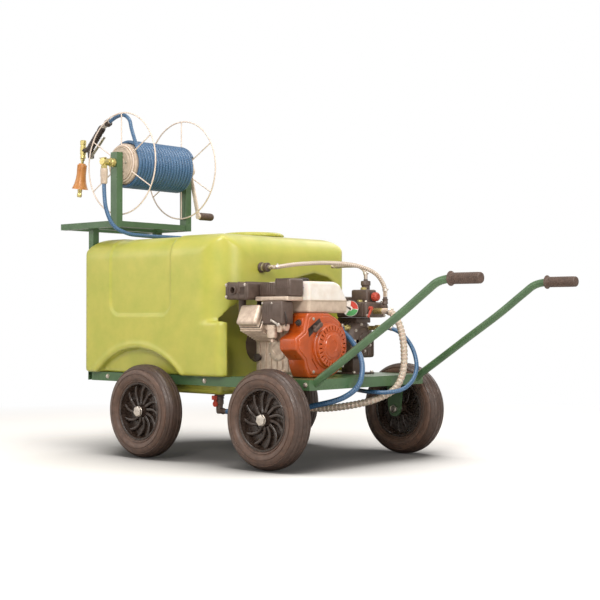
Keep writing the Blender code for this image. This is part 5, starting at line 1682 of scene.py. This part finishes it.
def makePump():
    x, y, z = pump["axis"]
    floor = pump["floor"]
    profile = [(0, -0.06), (0.064, -0.06), (0.072, -0.052), (0.0755, -0.044)]
    for k in range(5):
        start = -0.038 + 0.0145 * k
        profile += [(0.0755, start), (0.0755, start + 0.0055), (0.069, start + 0.007), (0.069, start + 0.013)]
    profile += [
        (0.0755, 0.0345), (0.074, 0.042), (0.064, 0.057), (0.06, 0.06), (0.042, 0.061), (0.04, 0.058),
        (0.018, 0.058), (0.016, 0.0618), (0, 0.062),
    ]
    body = lathe(profile, (x, y, z), alongX, 72)
    pieces = [
        body,
        block((0.205, 0.088, 0.385), (0.308, 0.232, 0.465), 0.01, 3),
        block((0.215, 0.115, 0.52), (0.312, 0.2, pump["unitLow"] - gap), 0.003, 2),
        cylinder((0.2, y, z), (0.0905, y, z), 0.0295, 40),
        block((0.225, 0.125, floor + 0.002), (0.285, 0.19, 0.392), 0.004, 2),
        block((0.195, 0.095, floor), (0.315, 0.22, floor + 0.006), 0.002, 2),
    ]
    for y0 in (0.104, 0.132, 0.16, 0.188, 0.216):
        pieces.append(block((0.3075, y0 - 0.002, 0.392), (0.312, y0 + 0.002, 0.458), 0.001, 1))
    finishPiece("pumpBody", pieces, "sparkErodedAbs", "cart", "pump_body")
    heads = []
    for i in range(8):
        a = 2 * math.pi * i / 8 + 0.2
        heads.append(
            hexBolt((x + 0.0592, y + 0.052 * math.cos(a), z + 0.052 * math.sin(a)), alongX, 0.009, 0.005)
        )
    heads += [
        hexBolt((px, py, floor + 0.0062), alongZ, 0.011, 0.006)
        for px in (0.203, 0.307)
        for py in (0.103, 0.212)
    ]
    finishPiece("pumpBolts", heads, "zincPlatedSteel")
    feed = [
        (0, 0), (0.0125, 0), (0.0125, 0.012), (0.0095, 0.014), (0.0098, 0.02), (0.0088, 0.0215),
        (0.0098, 0.028), (0.0088, 0.0295), (0.0098, 0.036), (0.008, 0.0378), (0, 0.0378),
    ]
    barbs = [lathe(feed, (0.285, 0.1, 0.5), nearward, 40)]
    barbs.append(
        lathe(
            [
                (0, 0), (0.012, 0), (0.012, 0.018), (0.0084, 0.02), (0.0088, 0.03), (0.008, 0.032),
                (0.0088, 0.042), (0.008, 0.044), (0, 0.044),
            ],
            (0.3418, 0.195, 0.5), alongX, 40,
        )
    )
    barbs.append(cylinder((0.296, 0.195, 0.5), (0.3425, 0.195, 0.5), 0.0088, 32))
    finishPiece("pumpBarbs", barbs, "turnedBrass", "cart", "pump_body")


def makeControlUnit():
    low, top = pump["unitLow"], pump["unitTop"]
    body = block((0.222, 0.098, low), (0.372, 0.215, top), 0.009, 3)
    webs = [
        block((x, 0.0955, low + 0.004), (x + 0.004, 0.216, top - 0.004), 0.001, 1)
        for x in (0.24, 0.318, 0.35)
    ]
    tower = [
        (0, 0), (0.022, 0), (0.022, 0.026), (0.0205, 0.03), (0.016, 0.033), (0.016, 0.045), (0.0178, 0.046),
        (0.0178, 0.052), (0.016, 0.053), (0.016, 0.074), (0.019, 0.076), (0.019, 0.09), (0.0175, 0.0925),
        (0.0085, 0.094), (0.008, 0.0995), (0, 0.0999),
    ]
    column = lathe(tower, (0.289, 0.198, 0.59), alongZ, 40)
    regulator = block((0.262, 0.14, 0.59), (pump["knobX"] - 0.003, 0.2, 0.648), 0.007, 3)
    riser = cylinder((0.391, 0.19, 0.58), (0.391, 0.19, 0.6195), 0.0082, 32)
    elbow = lathe(
        [(0, 0), (0.0118, 0), (0.0125, 0.003), (0.0125, 0.03), (0.011, 0.036), (0, 0.037)],
        (0.36, 0.19, 0.58), alongX, 40,
    )
    sleeve = lathe(
        [
            (0, 0), (0.011, 0), (0.011, 0.006), (0.0098, 0.008), (0.0098, 0.014), (0.011, 0.016),
            (0.011, 0.02), (0, 0.02),
        ],
        (0.391, 0.19, 0.592), alongZ, 40,
    )
    arm = cylinder((0.24, 0.105, 0.612), (0.24, 0.205, 0.612), 0.0093, 32)
    armFoot = block((0.23, 0.12, 0.59), (0.25, 0.19, 0.612), 0.002, 2)
    finishPiece(
        "controlUnit", [body, *webs, column, regulator, riser, elbow, sleeve, arm, armFoot], "sparkErodedAbs",
        "cart", "control_unit",
    )
    axis = Vector(pump["gaugeAxis"]).normalized()
    at = Vector(pump["gauge"])
    rim = lathe(
        [
            (0, 0), (0.0118, 0), (0.0118, 0.024), (0.026, 0.0265), (0.0335, 0.0275), (0.034, 0.029),
            (0.034, 0.044), (0.033, 0.0455), (0.0305, 0.0455), (0.03, 0.043), (0, 0.043),
        ],
        at, axis, 64,
    )
    finishPiece("gaugeCase", rim, "mouldedBlackNylon", "cart", "control_unit")
    dial = lathe([(0, 0.043), (0.03, 0.043), (0.03, 0.0436), (0, 0.0437)], at, axis, 64)
    finishPiece("gaugeDial", dial, "printedWhiteFace", "cart", "control_unit")
    across = axis.cross(Vector(alongZ)).normalized()
    for name, start, end, look in (
        ("gaugeRedArc", -5, 85, "printedRedFace"), ("gaugeGreenArc", -125, -12, "printedGreenFace")
    ):
        outer = arcPoints((0, 0), 0.0285, start, end, 16)
        sector = outer + [(p[0] * 0.3, p[1] * 0.3) for p in reversed(outer)]
        points = [at + axis * 0.0439 - across * p[0] + Vector(alongZ) * p[1] for p in sector]
        finishPiece(name, slab(points, axis * 0.0004), look, "cart", "control_unit")
    needle = slab(
        [
            at + axis * 0.0446 - across * p[0] + Vector(alongZ) * p[1]
            for p in ((-0.0012, -0.006), (-0.022, 0.012), (0.0012, 0.002), (0.003, -0.004))
        ],
        axis * 0.0004,
    )
    finishPiece("gaugeNeedle", needle, "mouldedBlackNylon", "cart", "control_unit")
    brass = [
        lathe(
            [(0, 0), (0.0135, 0), (0.0135, 0.003), (0.0115, 0.004), (0.0115, 0.01), (0, 0.01)],
            (0.36, 0.15, 0.565), alongX, 40,
        ),
        lathe(
            [
                (0, 0.008), (0.012, 0.008), (0.0112, 0.018), (0.012, 0.02), (0.0112, 0.03), (0.012, 0.032),
                (0.0112, 0.042), (0.012, 0.044), (0.0105, 0.052), (0, 0.052),
            ],
            (0.36, 0.15, 0.565), alongX, 40,
        ),
        cylinder((0.289, 0.198, 0.6245), (0.289, 0.198, 0.6335), 0.0185, 6),
        lathe(
            [(0, 0), (0.013, 0), (0.013, 0.006), (0.01, 0.008), (0.01, 0.015), (0, 0.015)],
            (0.24, 0.107, 0.612), nearward, 32,
        ),
        lathe(
            [(0, 0), (0.012, 0), (0.012, 0.007), (0.009, 0.009), (0, 0.01)], (0.305, 0.165, 0.648), alongZ, 6
        ),
        lathe(
            [(0, 0), (0.0115, 0), (0.0115, 0.006), (0.008, 0.008), (0, 0.008)], (0.33, 0.112, 0.6), alongZ, 6
        ),
    ]
    finishPiece("controlFittings", brass, "turnedBrass", "cart", "control_unit")
    steel = [
        lathe(
            [(0, 0), (0.01, 0), (0.01, 0.01), (0.0075, 0.012), (0.0075, 0.022), (0, 0.022)],
            (0.255, 0.168, 0.6), alongZ, 24,
        ),
    ]
    steel += [
        hexBolt((x, y, top), alongZ, 0.009, 0.005)
        for x, y in ((0.23, 0.107), (0.362, 0.107), (0.362, 0.207))
    ]
    steel += [
        hexBolt((0.372, y, z), alongX, 0.009, 0.005)
        for y, z in ((0.104, 0.548), (0.207, 0.548), (0.207, 0.592))
    ]
    finishPiece("controlBolts", steel, "zincPlatedSteel", "cart", "control_unit")
    at = (pump["knobX"], 0.17, 0.62)
    knob = lathe(
        [
            (0, 0), (0.01, 0), (0.01, 0.004), (0.0155, 0.005), (0.0165, 0.0062), (0.0165, 0.0225),
            (0.0135, 0.0272), (0.0095, 0.028), (0.0085, 0.0268), (0, 0.0268),
        ],
        at, alongX, 48,
    )
    rib = block(
        (at[0] + 0.006, at[1] - 0.0016, at[2] + 0.0155), (at[0] + 0.0232, at[1] + 0.0016, at[2] + 0.0174),
        0.0006, 1,
    )
    ribs = setRound(rib, 15, alongX, at)
    finishPiece("pressureKnob", [knob, *ribs], "mouldedRedNylon", "pressure_knob", "pressure_knob")
    at = Vector((0.3723, 0.118, 0.575))
    hub = lathe([(0, 0), (0.008, 0), (0.008, 0.0105), (0.0068, 0.012), (0, 0.012)], at, alongX, 32)
    lever = block(at + Vector((0.0062, -0.0055, -0.0395)), at + Vector((0.0108, 0.0055, 0.0)), 0.002, 3)
    turned(lever, -30, alongX, at)
    finishPiece("tapLever", [hub, lever], "mouldedRedNylon", "tap_lever", "tap_lever")


makePump()
makeControlUnit()
print("pump ready")

# reel, stand fittings and gun

reel = {
    "ring": 0.205,
    "wire": 0.003,
    "rings": {"near": -0.318, "far": 0.012},
    "disc": 0.069,
    "core": 0.0819,
    "shaft": 0.0125,
    "nearPost": -0.358,
    "crankY": 0.056,
    "crankLength": 0.2,
    "crankAngle": 14.5,
}


def onAxis(y):
    return Vector((reelAxis.x, y, reelAxis.z))


def makeRings():
    for name, y in reel["rings"].items():
        x, z = reelAxis.x, reelAxis.z
        hoop = wire(
            [(p[0], y, p[1]) for p in arcPoints((x, z), reel["ring"], 0, 357, 119)], reel["wire"], 4, True
        )
        inner = reel["disc"] + reel["wire"] + 0.0014
        small = wire([(p[0], y, p[1]) for p in arcPoints((x, z), inner, 0, 354, 59)], reel["wire"], 3, True)
        pieces = [hoop, small]
        for i in range(6):
            a = math.radians(30 + 60 * i)
            ray = Vector((math.cos(a), 0, math.sin(a)))
            start, end = onAxis(y) + ray * (inner - 0.001), onAxis(y) + ray * (reel["ring"] + 0.0005)
            pieces.append(cylinder(start, end, reel["wire"] * 0.82, 14))
            pieces.append(
                cylinder(end - ray * 0.01, end - ray * 0.0015, reel["wire"] * 0.8, 14, reel["wire"] * 1.08)
            )
            pieces.append(cylinder(start, start + ray * 0.009, reel["wire"] * 1.35, 14, reel["wire"] * 0.8))
        finishPiece(f"flangeRing_{name}", pieces, "coatedWire", "reel", f"flange_ring_{name}", 60)


def makeDrum():
    near, far = reel["rings"]["near"], reel["rings"]["far"]
    disc, core, shaft = reel["disc"], reel["core"], reel["shaft"]
    profile = [
        (0, near - 0.0075), (0.024, near - 0.0075), (0.026, near - 0.006), (0.0445, near - 0.006),
        (0.0465, near - 0.0075), (0.052, near - 0.0075), (0.054, near - 0.005), (0.063, near - 0.005),
        (0.065, near - 0.0075), (disc - 0.0012, near - 0.0075), (disc, near - 0.0062), (disc, near + 0.0045),
        (core - 0.0015, near + 0.0085), (core, near + 0.01), (core, far - 0.01),
        (core - 0.0015, far - 0.0085), (disc, far - 0.0045), (disc, far + 0.0038),
        (disc - 0.0012, far + 0.005), (0.065, far + 0.005), (0.063, far + 0.003), (0.03, far + 0.003),
        (0.028, far + 0.005), (0, far + 0.005),
    ]
    body = lathe(profile, (reelAxis.x, 0, reelAxis.z), alongY, 72)
    finishPiece("drum", body, "mouldedPalePolyamide", "reel", "drum", 35)
    axle = lathe(
        [
            (0, -0.3708), (shaft - 0.001, -0.3708), (shaft, -0.3698), (shaft, 0.0738),
            (shaft - 0.001, 0.0748), (0, 0.0748),
        ],
        (reelAxis.x, 0, reelAxis.z), alongY, 40,
    )
    heads = [axle]
    for i in range(6):
        a = math.radians(60 * i)
        heads.append(
            hexBolt(
                onAxis(near - 0.0062) + Vector((math.cos(a), 0, math.sin(a))) * 0.0355, nearward, 0.008,
                0.0034, False,
            )
        )
    finishPiece("reelShaft", heads, "zincPlatedSteel", "reel", "drum", 35)


def makeCrank():
    y = reel["crankY"]
    angle = math.radians(reel["crankAngle"])
    end = onAxis(y) + Vector((math.sin(angle), 0, -math.cos(angle))) * reel["crankLength"]
    hub = lathe(
        [(0.0128, 0), (0.019, 0), (0.02, 0.001), (0.02, 0.017), (0.019, 0.018), (0.0128, 0.018)], onAxis(y),
        alongY, 40, True,
    )
    bar = block(
        onAxis(y) + Vector((-0.0095, 0.004, -reel["crankLength"])),
        onAxis(y) + Vector((0.0095, 0.01, -0.017)), 0.0015, 2,
    )
    turned(bar, -reel["crankAngle"], alongY, onAxis(y))
    boss = lathe(
        [(0, 0.003), (0.012, 0.003), (0.0125, 0.004), (0.0125, 0.011), (0.0115, 0.012), (0, 0.012)], end,
        alongY, 32,
    )
    pin = lathe(
        [
            (0, 0.008), (0.005, 0.008), (0.005, 0.0888), (0.0085, 0.0888), (0.009, 0.0895), (0.009, 0.0915),
            (0.0075, 0.0925), (0, 0.0925),
        ],
        end, alongY, 32,
    )
    finishPiece("crankArm", [hub, bar, boss, pin], "coatedWire", "reel", "crank_arm", 35)
    profile = [(0.0054, 0.0127), (0.013, 0.0127), (0.0135, 0.0135), (0.0158, 0.019), (0.0162, 0.023)]
    for k in range(6):
        profile += [
            (0.016, 0.028 + 0.008 * k), (0.0149, 0.03 + 0.008 * k), (0.0149, 0.032 + 0.008 * k),
            (0.016, 0.034 + 0.008 * k),
        ]
    profile += [(0.016, 0.079), (0.0148, 0.085), (0.0125, 0.0878), (0.0054, 0.088)]
    grip = lathe(profile, end, alongY, 40, True)
    finishPiece("crankGrip", grip, "mouldedGripRubber", "crank_grip", "crank_grip", 35)


def makeSwivel():
    start = onAxis(reel["nearPost"] - gap)
    profile = [
        (0.0128, 0), (0.0165, 0), (0.0175, 0.001), (0.0175, 0.007), (0.015, 0.0085), (0.015, 0.0105),
        (0.0175, 0.012), (0.0175, 0.0175), (0.016, 0.019), (0.0125, 0.021), (0.0125, 0.036), (0.015, 0.038),
        (0.015, 0.06), (0.0135, 0.062), (0, 0.062), (0, 0.0135), (0.0128, 0.0135),
    ]
    body = lathe(profile, start, nearward, 48, True)
    nut = lathe(
        [(0.0125, 0.0225), (0.0158, 0.0225), (0.0158, 0.0335), (0.0125, 0.0335)], start, nearward, 6, True
    )
    drop = (reelAxis.x, reel["nearPost"] - 0.05, reelAxis.z)
    leg = lathe(
        [
            (0, 0), (0.0095, 0), (0.0095, -0.014), (0.0115, -0.016), (0.0115, -0.0265), (0.01, -0.028),
            (0.01, -0.034), (0.0115, -0.0355), (0.0115, -0.06), (0, -0.06),
        ],
        drop, alongZ, 40,
    )
    hexCollar = cylinder(
        (drop[0], drop[1], drop[2] - 0.0265), (drop[0], drop[1], drop[2] - 0.0165), 0.0132, 6
    )
    handle = block(
        (drop[0] - 0.026, drop[1] - 0.005, drop[2] + 0.014),
        (drop[0] + 0.012, drop[1] + 0.005, drop[2] + 0.0172), 0.0015, 2,
    )
    stem = cylinder((drop[0], drop[1], drop[2]), (drop[0], drop[1], drop[2] + 0.0165), 0.0055, 20)
    finishPiece("reelSwivel", [body, nut, leg, hexCollar, handle, stem], "turnedBrass", "cart", "swivel", 35)
    sleeve = lathe(
        [
            (0.0083, 0), (0.0138, 0), (0.0148, 0.001), (0.0148, 0.03), (0.0136, 0.034), (0.0136, 0.056),
            (0.012, 0.06), (0.0095, 0.0615), (0.0083, 0.0615),
        ],
        (drop[0], drop[1], drop[2] - 0.0275), (0, 0, -1), 40, True,
    )
    finishPiece("deliveryFerrule", sleeve, "mouldedPalePolyamide")


def gunPoint(across, up):
    return Vector((reelAxis.x + across, gunY, reelAxis.z + up))


def makeGun():
    top, foot = gunPoint(-0.14, 0.1635), gunPoint(-0.232, 0.072)
    down = (foot - top).normalized()
    profile = [(0, 0), (0.0115, 0), (0.0145, 0.003), (0.0155, 0.01), (0.0155, 0.022), (0.0138, 0.03)]
    for k in range(6):
        at = 0.034 + 0.0125 * k
        profile += [(0.0138, at), (0.0155, at + 0.0025), (0.0155, at + 0.0085), (0.0138, at + 0.011)]
    profile += [(0.015, 0.112), (0.0155, 0.12), (0.014, 0.127), (0.0115, 0.1296), (0, 0.1298)]
    grip = lathe(profile, top, down, 40)
    guard = cylinder(gunPoint(-0.148, 0.1595), gunPoint(-0.1385, 0.15), 0.0088, 28)
    start = gunPoint(-0.095, 0.1815)
    along = (gunPoint(-0.146, 0.1605) - start).normalized()
    collar = lathe(
        [(0.009, 0.004), (0.015, 0.004), (0.0158, 0.0055), (0.0158, 0.0185), (0.015, 0.02), (0.009, 0.02)],
        start, along, 40, True,
    )
    link = cylinder(gunPoint(-0.224, 0.078), gunPoint(-0.269, 0.076), 0.0103, 32)
    valve = lathe(
        [
            (0, 0), (0.0105, 0), (0.0125, 0.002), (0.0125, 0.018), (0.0108, 0.02), (0.0108, 0.026),
            (0.0125, 0.028), (0.0125, 0.058), (0.0108, 0.06), (0.0108, 0.066), (0.0122, 0.068),
            (0.0122, 0.0745), (0.01, 0.076), (0, 0.076),
        ],
        gunPoint(-0.267, 0.12), gunPoint(-0.269, 0.044) - gunPoint(-0.267, 0.12), 40,
    )
    pieces = [grip, guard, collar, link]
    pivot = gunPoint(-0.216, 0.044)
    for side in (-1, 1):
        y0, y1 = sorted((gunY + side * 0.0076, gunY + side * 0.011))
        outline = [
            (pivot.x - 0.007, y0, pivot.z - 0.004), (pivot.x + 0.007, y0, pivot.z - 0.004),
            (pivot.x + 0.009, y0, pivot.z + 0.032), (pivot.x - 0.012, y0, pivot.z + 0.032),
        ]
        pieces.append(bevelled(slab(outline, (0, y1 - y0, 0)), 0.0008, 2, 40))
    pieces.append(cylinder((pivot.x, gunY - 0.0118, pivot.z), (pivot.x, gunY + 0.0118, pivot.z), 0.0028, 20))
    finishPiece("gunBody", pieces, "mouldedBlackNylon", "spray_gun", "gun_body", 35)
    nipple = lathe(
        [
            (0, 0), (0.0088, 0), (0.0095, 0.001), (0.0095, 0.012), (0.008, 0.014), (0.008, 0.021),
            (0.0094, 0.023), (0.0094, 0.055), (0, 0.055),
        ],
        start, along, 40,
    )
    nut = lathe([(0.009, 0.026), (0.0112, 0.026), (0.0112, 0.038), (0.009, 0.038)], start, along, 6, True)
    bell, ray = gunPoint(-0.269, 0.053), Vector((-0.139, 0.0, -0.9903)).normalized()
    pipe = cylinder(bell, bell + ray * 0.055, 0.0059, 28)
    ring = lathe([(0.0059, 0.01), (0.009, 0.01), (0.009, 0.018), (0.0059, 0.018)], bell, ray, 32, True)
    finishPiece("gunFittings", [valve, pipe, ring], "turnedBrass", "spray_gun", "gun_body", 35)
    finishPiece("gunConnector", [nipple, nut], "zincPlatedSteel", "spray_gun", "gun_body", 35)
    end = gunPoint(-0.13, 0.121)
    lever = (end - pivot).normalized()
    side = Vector((-lever.z, 0, lever.x))
    reach = (end - pivot).length
    spine = [(0.0, 0.0022), (0.3, 0.003), (0.65, 0.0014), (0.9, 0.0026), (1.0, 0.0022)]
    edge = [pivot + lever * reach * s + side * w for s, w in spine]
    back = [pivot + lever * reach * s + side * (w - 0.0046) for s, w in reversed(spine)]
    bar = slab([p - Vector((0, 0.0065, 0)) for p in edge + back], (0, 0.013, 0))
    bevelled(bar, 0.0009, 2, 40)
    hub = lathe(
        [
            (0.0029, -0.007), (0.006, -0.007), (0.0065, -0.0064), (0.0065, 0.0064), (0.006, 0.007),
            (0.0029, 0.007),
        ],
        pivot, alongY, 32, True,
    )
    finishPiece("gunTrigger", [bar, hub], "zincPlatedSteel", "gun_trigger", "gun_trigger", 35)
    profile = [
        (0, 0.0575), (0.0066, 0.0575), (0.0066, 0.03), (0.0135, 0.03), (0.0148, 0.032), (0.0165, 0.04),
        (0.018, 0.05), (0.019, 0.072), (0.0212, 0.095), (0.025, 0.114), (0.03, 0.129), (0.0338, 0.1365),
        (0.034, 0.138), (0.0322, 0.138), (0.027, 0.126), (0.021, 0.112), (0.017, 0.1035), (0.01, 0.1035),
        (0, 0.1035),
    ]
    shell = lathe(profile, bell, ray, 64)
    fins = []
    for i in range(10):
        fin = block(
            bell + Vector((-0.0008, 0.013, -0.098)), bell + Vector((0.0008, 0.0196, -0.036)), 0.0006, 1
        )
        turned(fin, math.degrees(math.atan2(0.139, 0.9903)), alongY, bell)
        fins.append(turned(fin, 36 * i, ray, bell))
    finishPiece("gunBell", [shell, *fins], "mouldedOrangePolypropylene", "gun_bell", "gun_bell", 35)
    tip = lathe(
        [
            (0, 0.1), (0.0098, 0.1), (0.0098, 0.146), (0.0088, 0.148), (0.0088, 0.155), (0.01, 0.157),
            (0.01, 0.168), (0.0085, 0.1715), (0.003, 0.172), (0.0022, 0.169), (0, 0.169),
        ],
        bell, ray, 6,
    )
    cone = lathe([(0, 0.1), (0.0086, 0.1), (0.0086, 0.171), (0, 0.1715)], bell, ray, 32)
    finishPiece("bellNozzle", [tip, cone], "turnedBrass", "gun_bell", "gun_bell", 35)


def makeFittings():
    start = (0.0613, -0.155, 0.731)
    black = [
        lathe(
            [(0, 0), (0.019, 0), (0.02, 0.001), (0.02, 0.007), (0.019, 0.008), (0.015, 0.0095), (0, 0.0095)],
            start, alongX, 48,
        ),
        lathe(
            [
                (0.008, 0.0225), (0.0172, 0.0225), (0.018, 0.0235), (0.018, 0.037), (0.0168, 0.0385),
                (0.0125, 0.0395), (0.008, 0.0395),
            ],
            start, alongX, 48, True,
        ),
    ]
    finishPiece("returnRings", black, "sparkErodedAbs", "cart", "return_fitting", 35)
    pale = [
        lathe([(0, 0.009), (0.0135, 0.009), (0.0135, 0.0235), (0, 0.0235)], start, alongX, 40),
        lathe([(0, 0.03), (0.0085, 0.03), (0.0085, 0.0545), (0.0075, 0.055), (0, 0.055)], start, alongX, 40),
        lathe([(0.013, 0.0105), (0.016, 0.0105), (0.016, 0.0205), (0.013, 0.0205)], start, alongX, 6, True),
    ]
    finishPiece("returnBody", pale, "zincPlatedSteel", "cart", "return_fitting", 35)
    at = (-0.066, -0.25, 0.2474)
    profile = [
        (0, 0), (0.0185, 0), (0.0195, 0.001), (0.0195, 0.006), (0.014, 0.008), (0.014, 0.018), (0.0162, 0.02),
        (0.0162, 0.036), (0.014, 0.038), (0.013, 0.044), (0.013, 0.058), (0.0115, 0.07), (0.008, 0.0735),
        (0, 0.0735),
    ]
    leg = lathe(profile, at, (0, 0, -1), 48)
    hexes = [
        lathe([(0.012, 0.0085), (0.0178, 0.0085), (0.0178, 0.017), (0.012, 0.017)], at, (0, 0, -1), 6, True)
    ]
    arm = lathe(
        [
            (0, 0), (0.0102, 0), (0.0102, 0.016), (0.012, 0.0175), (0.012, 0.0225), (0.0092, 0.024),
            (0.0098, 0.03), (0.0088, 0.0315), (0.0098, 0.037), (0.0085, 0.0398), (0, 0.0398),
        ],
        (at[0], at[1], 0.1842), alongX, 40,
    )
    finishPiece("outletValve", [leg, *hexes, arm], "sparkErodedAbs", "cart", "outlet_valve", 35)


handle = {"y": 0.2975, "radius": 0.014, "bar": 0.3005, "grip": 0.667, "gripStart": 1.037, "end": 1.149}


def makeHandles():
    for name, side in (("near", -1), ("far", 1)):
        y, bar, top = side * handle["y"], handle["bar"], handle["grip"]
        route = [
            (0.12, y, bar), (0.3, y, bar), (0.44, y, bar), (0.49, y, 0.331), (0.53, y, 0.356),
            (0.7, y, 0.466), (0.84, y, 0.556), (0.945, y, 0.63), (0.985, y, 0.656),
            (handle["gripStart"], y, top), (handle["end"], y, top),
        ]
        tube = wire(smoothRoute(route, 0.01), handle["radius"], 6)
        finishPiece(f"handleTube_{name}", tube, "powderCoatedSteel", "cart", f"handle_{name}", 60)


def makeGrips():
    for name, side in (("near", -1), ("far", 1)):
        start = (1.037, side * 0.2975, 0.667)
        profile = [
            (0.0143, 0), (0.024, 0), (0.0245, 0.0006), (0.0245, 0.003), (0.0225, 0.0045), (0.019, 0.0075)
        ]
        for k in range(12):
            at = 0.0095 + 0.0085 * k
            profile += [(0.0186, at), (0.0186, at + 0.005), (0.0176, at + 0.006), (0.0176, at + 0.0078)]
        profile += [
            (0.0186, 0.113), (0.018, 0.1165), (0.016, 0.119), (0.012, 0.12), (0, 0.12), (0, 0.1124),
            (0.0143, 0.1124),
        ]
        grip = lathe(profile, start, alongX, 48, True)
        flutes = [
            block(
                (1.048, start[1] - 0.0007, start[2] + 0.017), (1.146, start[1] + 0.0007, start[2] + 0.01875),
                0.0005, 1,
            ),
        ]
        for i in range(1, 20):
            flutes.append(turned(copied(flutes[0]), 18 * i, alongX, start))
        finishPiece(f"handleGrip_{name}", [grip, *flutes], "mouldedGripRubber", "cart", f"grip_{name}", 35)


def clamp(point, along, radius):
    along = Vector(along).normalized()
    band = lathe(
        [
            (radius + 0.0001, -0.0042), (radius + 0.0013, -0.0042), (radius + 0.0013, 0.0042),
            (radius + 0.0001, 0.0042),
        ],
        point, along, 32, True,
    )
    side = along.orthogonal().normalized()
    middle = Vector(point) + side * (radius + 0.0028)
    reach = along.cross(side) * 0.0065
    screw = cylinder(middle - reach, middle + reach, 0.003, 12)
    return [band, screw]


def makeClamps():
    bands = []
    for name, _, route, radius, *_ in hoses:
        if name == "gunLeadHose":
            continue
        points = [Vector(p) for p in smoothRoute(route, 0.006)]
        for k, end in ((2, 3), (-3, -4)):
            if name == "deliveryHose" and points[k].z > 1.0:
                continue
            bands += clamp(points[k], points[end] - points[k], radius)
    points = [Vector(p) for p in smoothRoute(suctionRoute, 0.006)]
    for k, end in ((2, 3), (-3, -4)):
        bands += clamp(points[k], points[end] - points[k], 0.014)
    finishPiece("hoseClamps", bands, "zincPlatedSteel", smooth=35)
    heads = []
    for side in (-1, 1):
        out = Vector((0, side, 0))
        for x, z in ((-0.623, 0.303), (-0.062, 0.302), (0.205, 0.303), (0.445, 0.303), (-0.47, 0.303)):
            heads.append(hexBolt((x, side * 0.3332, z), out, 0.013, 0.0065))
        for x in wheel["places"].values():
            for dx in (-0.03, 0.03):
                heads.append(hexBolt((x + dx, side * 0.3396, 0.303), out, 0.013, 0.0065))
    finishPiece("frameBolts", heads, "zincPlatedSteel", smooth=35)


makeRings()
makeDrum()
makeCrank()
makeSwivel()
makeGun()
makeFittings()
makeHandles()
makeGrips()
makeClamps()
print("reel, gun and fittings ready")

# finishes of the CAD nodes that stay

nodeFinishes = {
    "powderCoatedSteel": "chassis handle_near handle_far reel_stand crank_arm wheel_bracket_rear_near "
    "wheel_bracket_rear_far wheel_bracket_front_near wheel_bracket_front_far",
    "rotomouldedPolyethylene": "tank tank_lid",
    "vulcanisedRubber": "tyre_rear_near tyre_rear_far tyre_front_near tyre_front_far",
    "mouldedGripRubber": "grip_near grip_far crank_grip pull_handle",
    "glassFilledNylon": "rim_rear_near rim_rear_far rim_front_near rim_front_far",
    "zincPlatedSteel": "axle_rear_near axle_rear_far axle_front_near axle_front_far gun_trigger choke_lever",
    "turnedBrass": "outlet_valve swivel",
    "mouldedRedNylon": "pressure_knob tap_lever outlet_lever",
    "mouldedPalePolyamide": "drum",
    "coatedWire": "flange_ring_near flange_ring_far",
    "mouldedBlackNylon": "gun_body fuel_cap engine_switch dipstick return_fitting",
    "mouldedOrangePolypropylene": "gun_bell",
    "dieCastAluminium": "engine_block valve_cover",
    "bakedEnamelSteel": "fan_shroud",
    "blowMouldedPolyethylene": "fuel_tank",
    "sparkErodedAbs": "air_cleaner carburettor control_unit pump_body drive_guard muffler",
}


def dressNodes():
    for look, names in nodeFinishes.items():
        for name in names.split():
            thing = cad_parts.get(name) or bpy.data.objects[name]
            thing.data.materials.clear()
            thing.data.materials.append(finish[look])


dressNodes()
print("frame dressed")
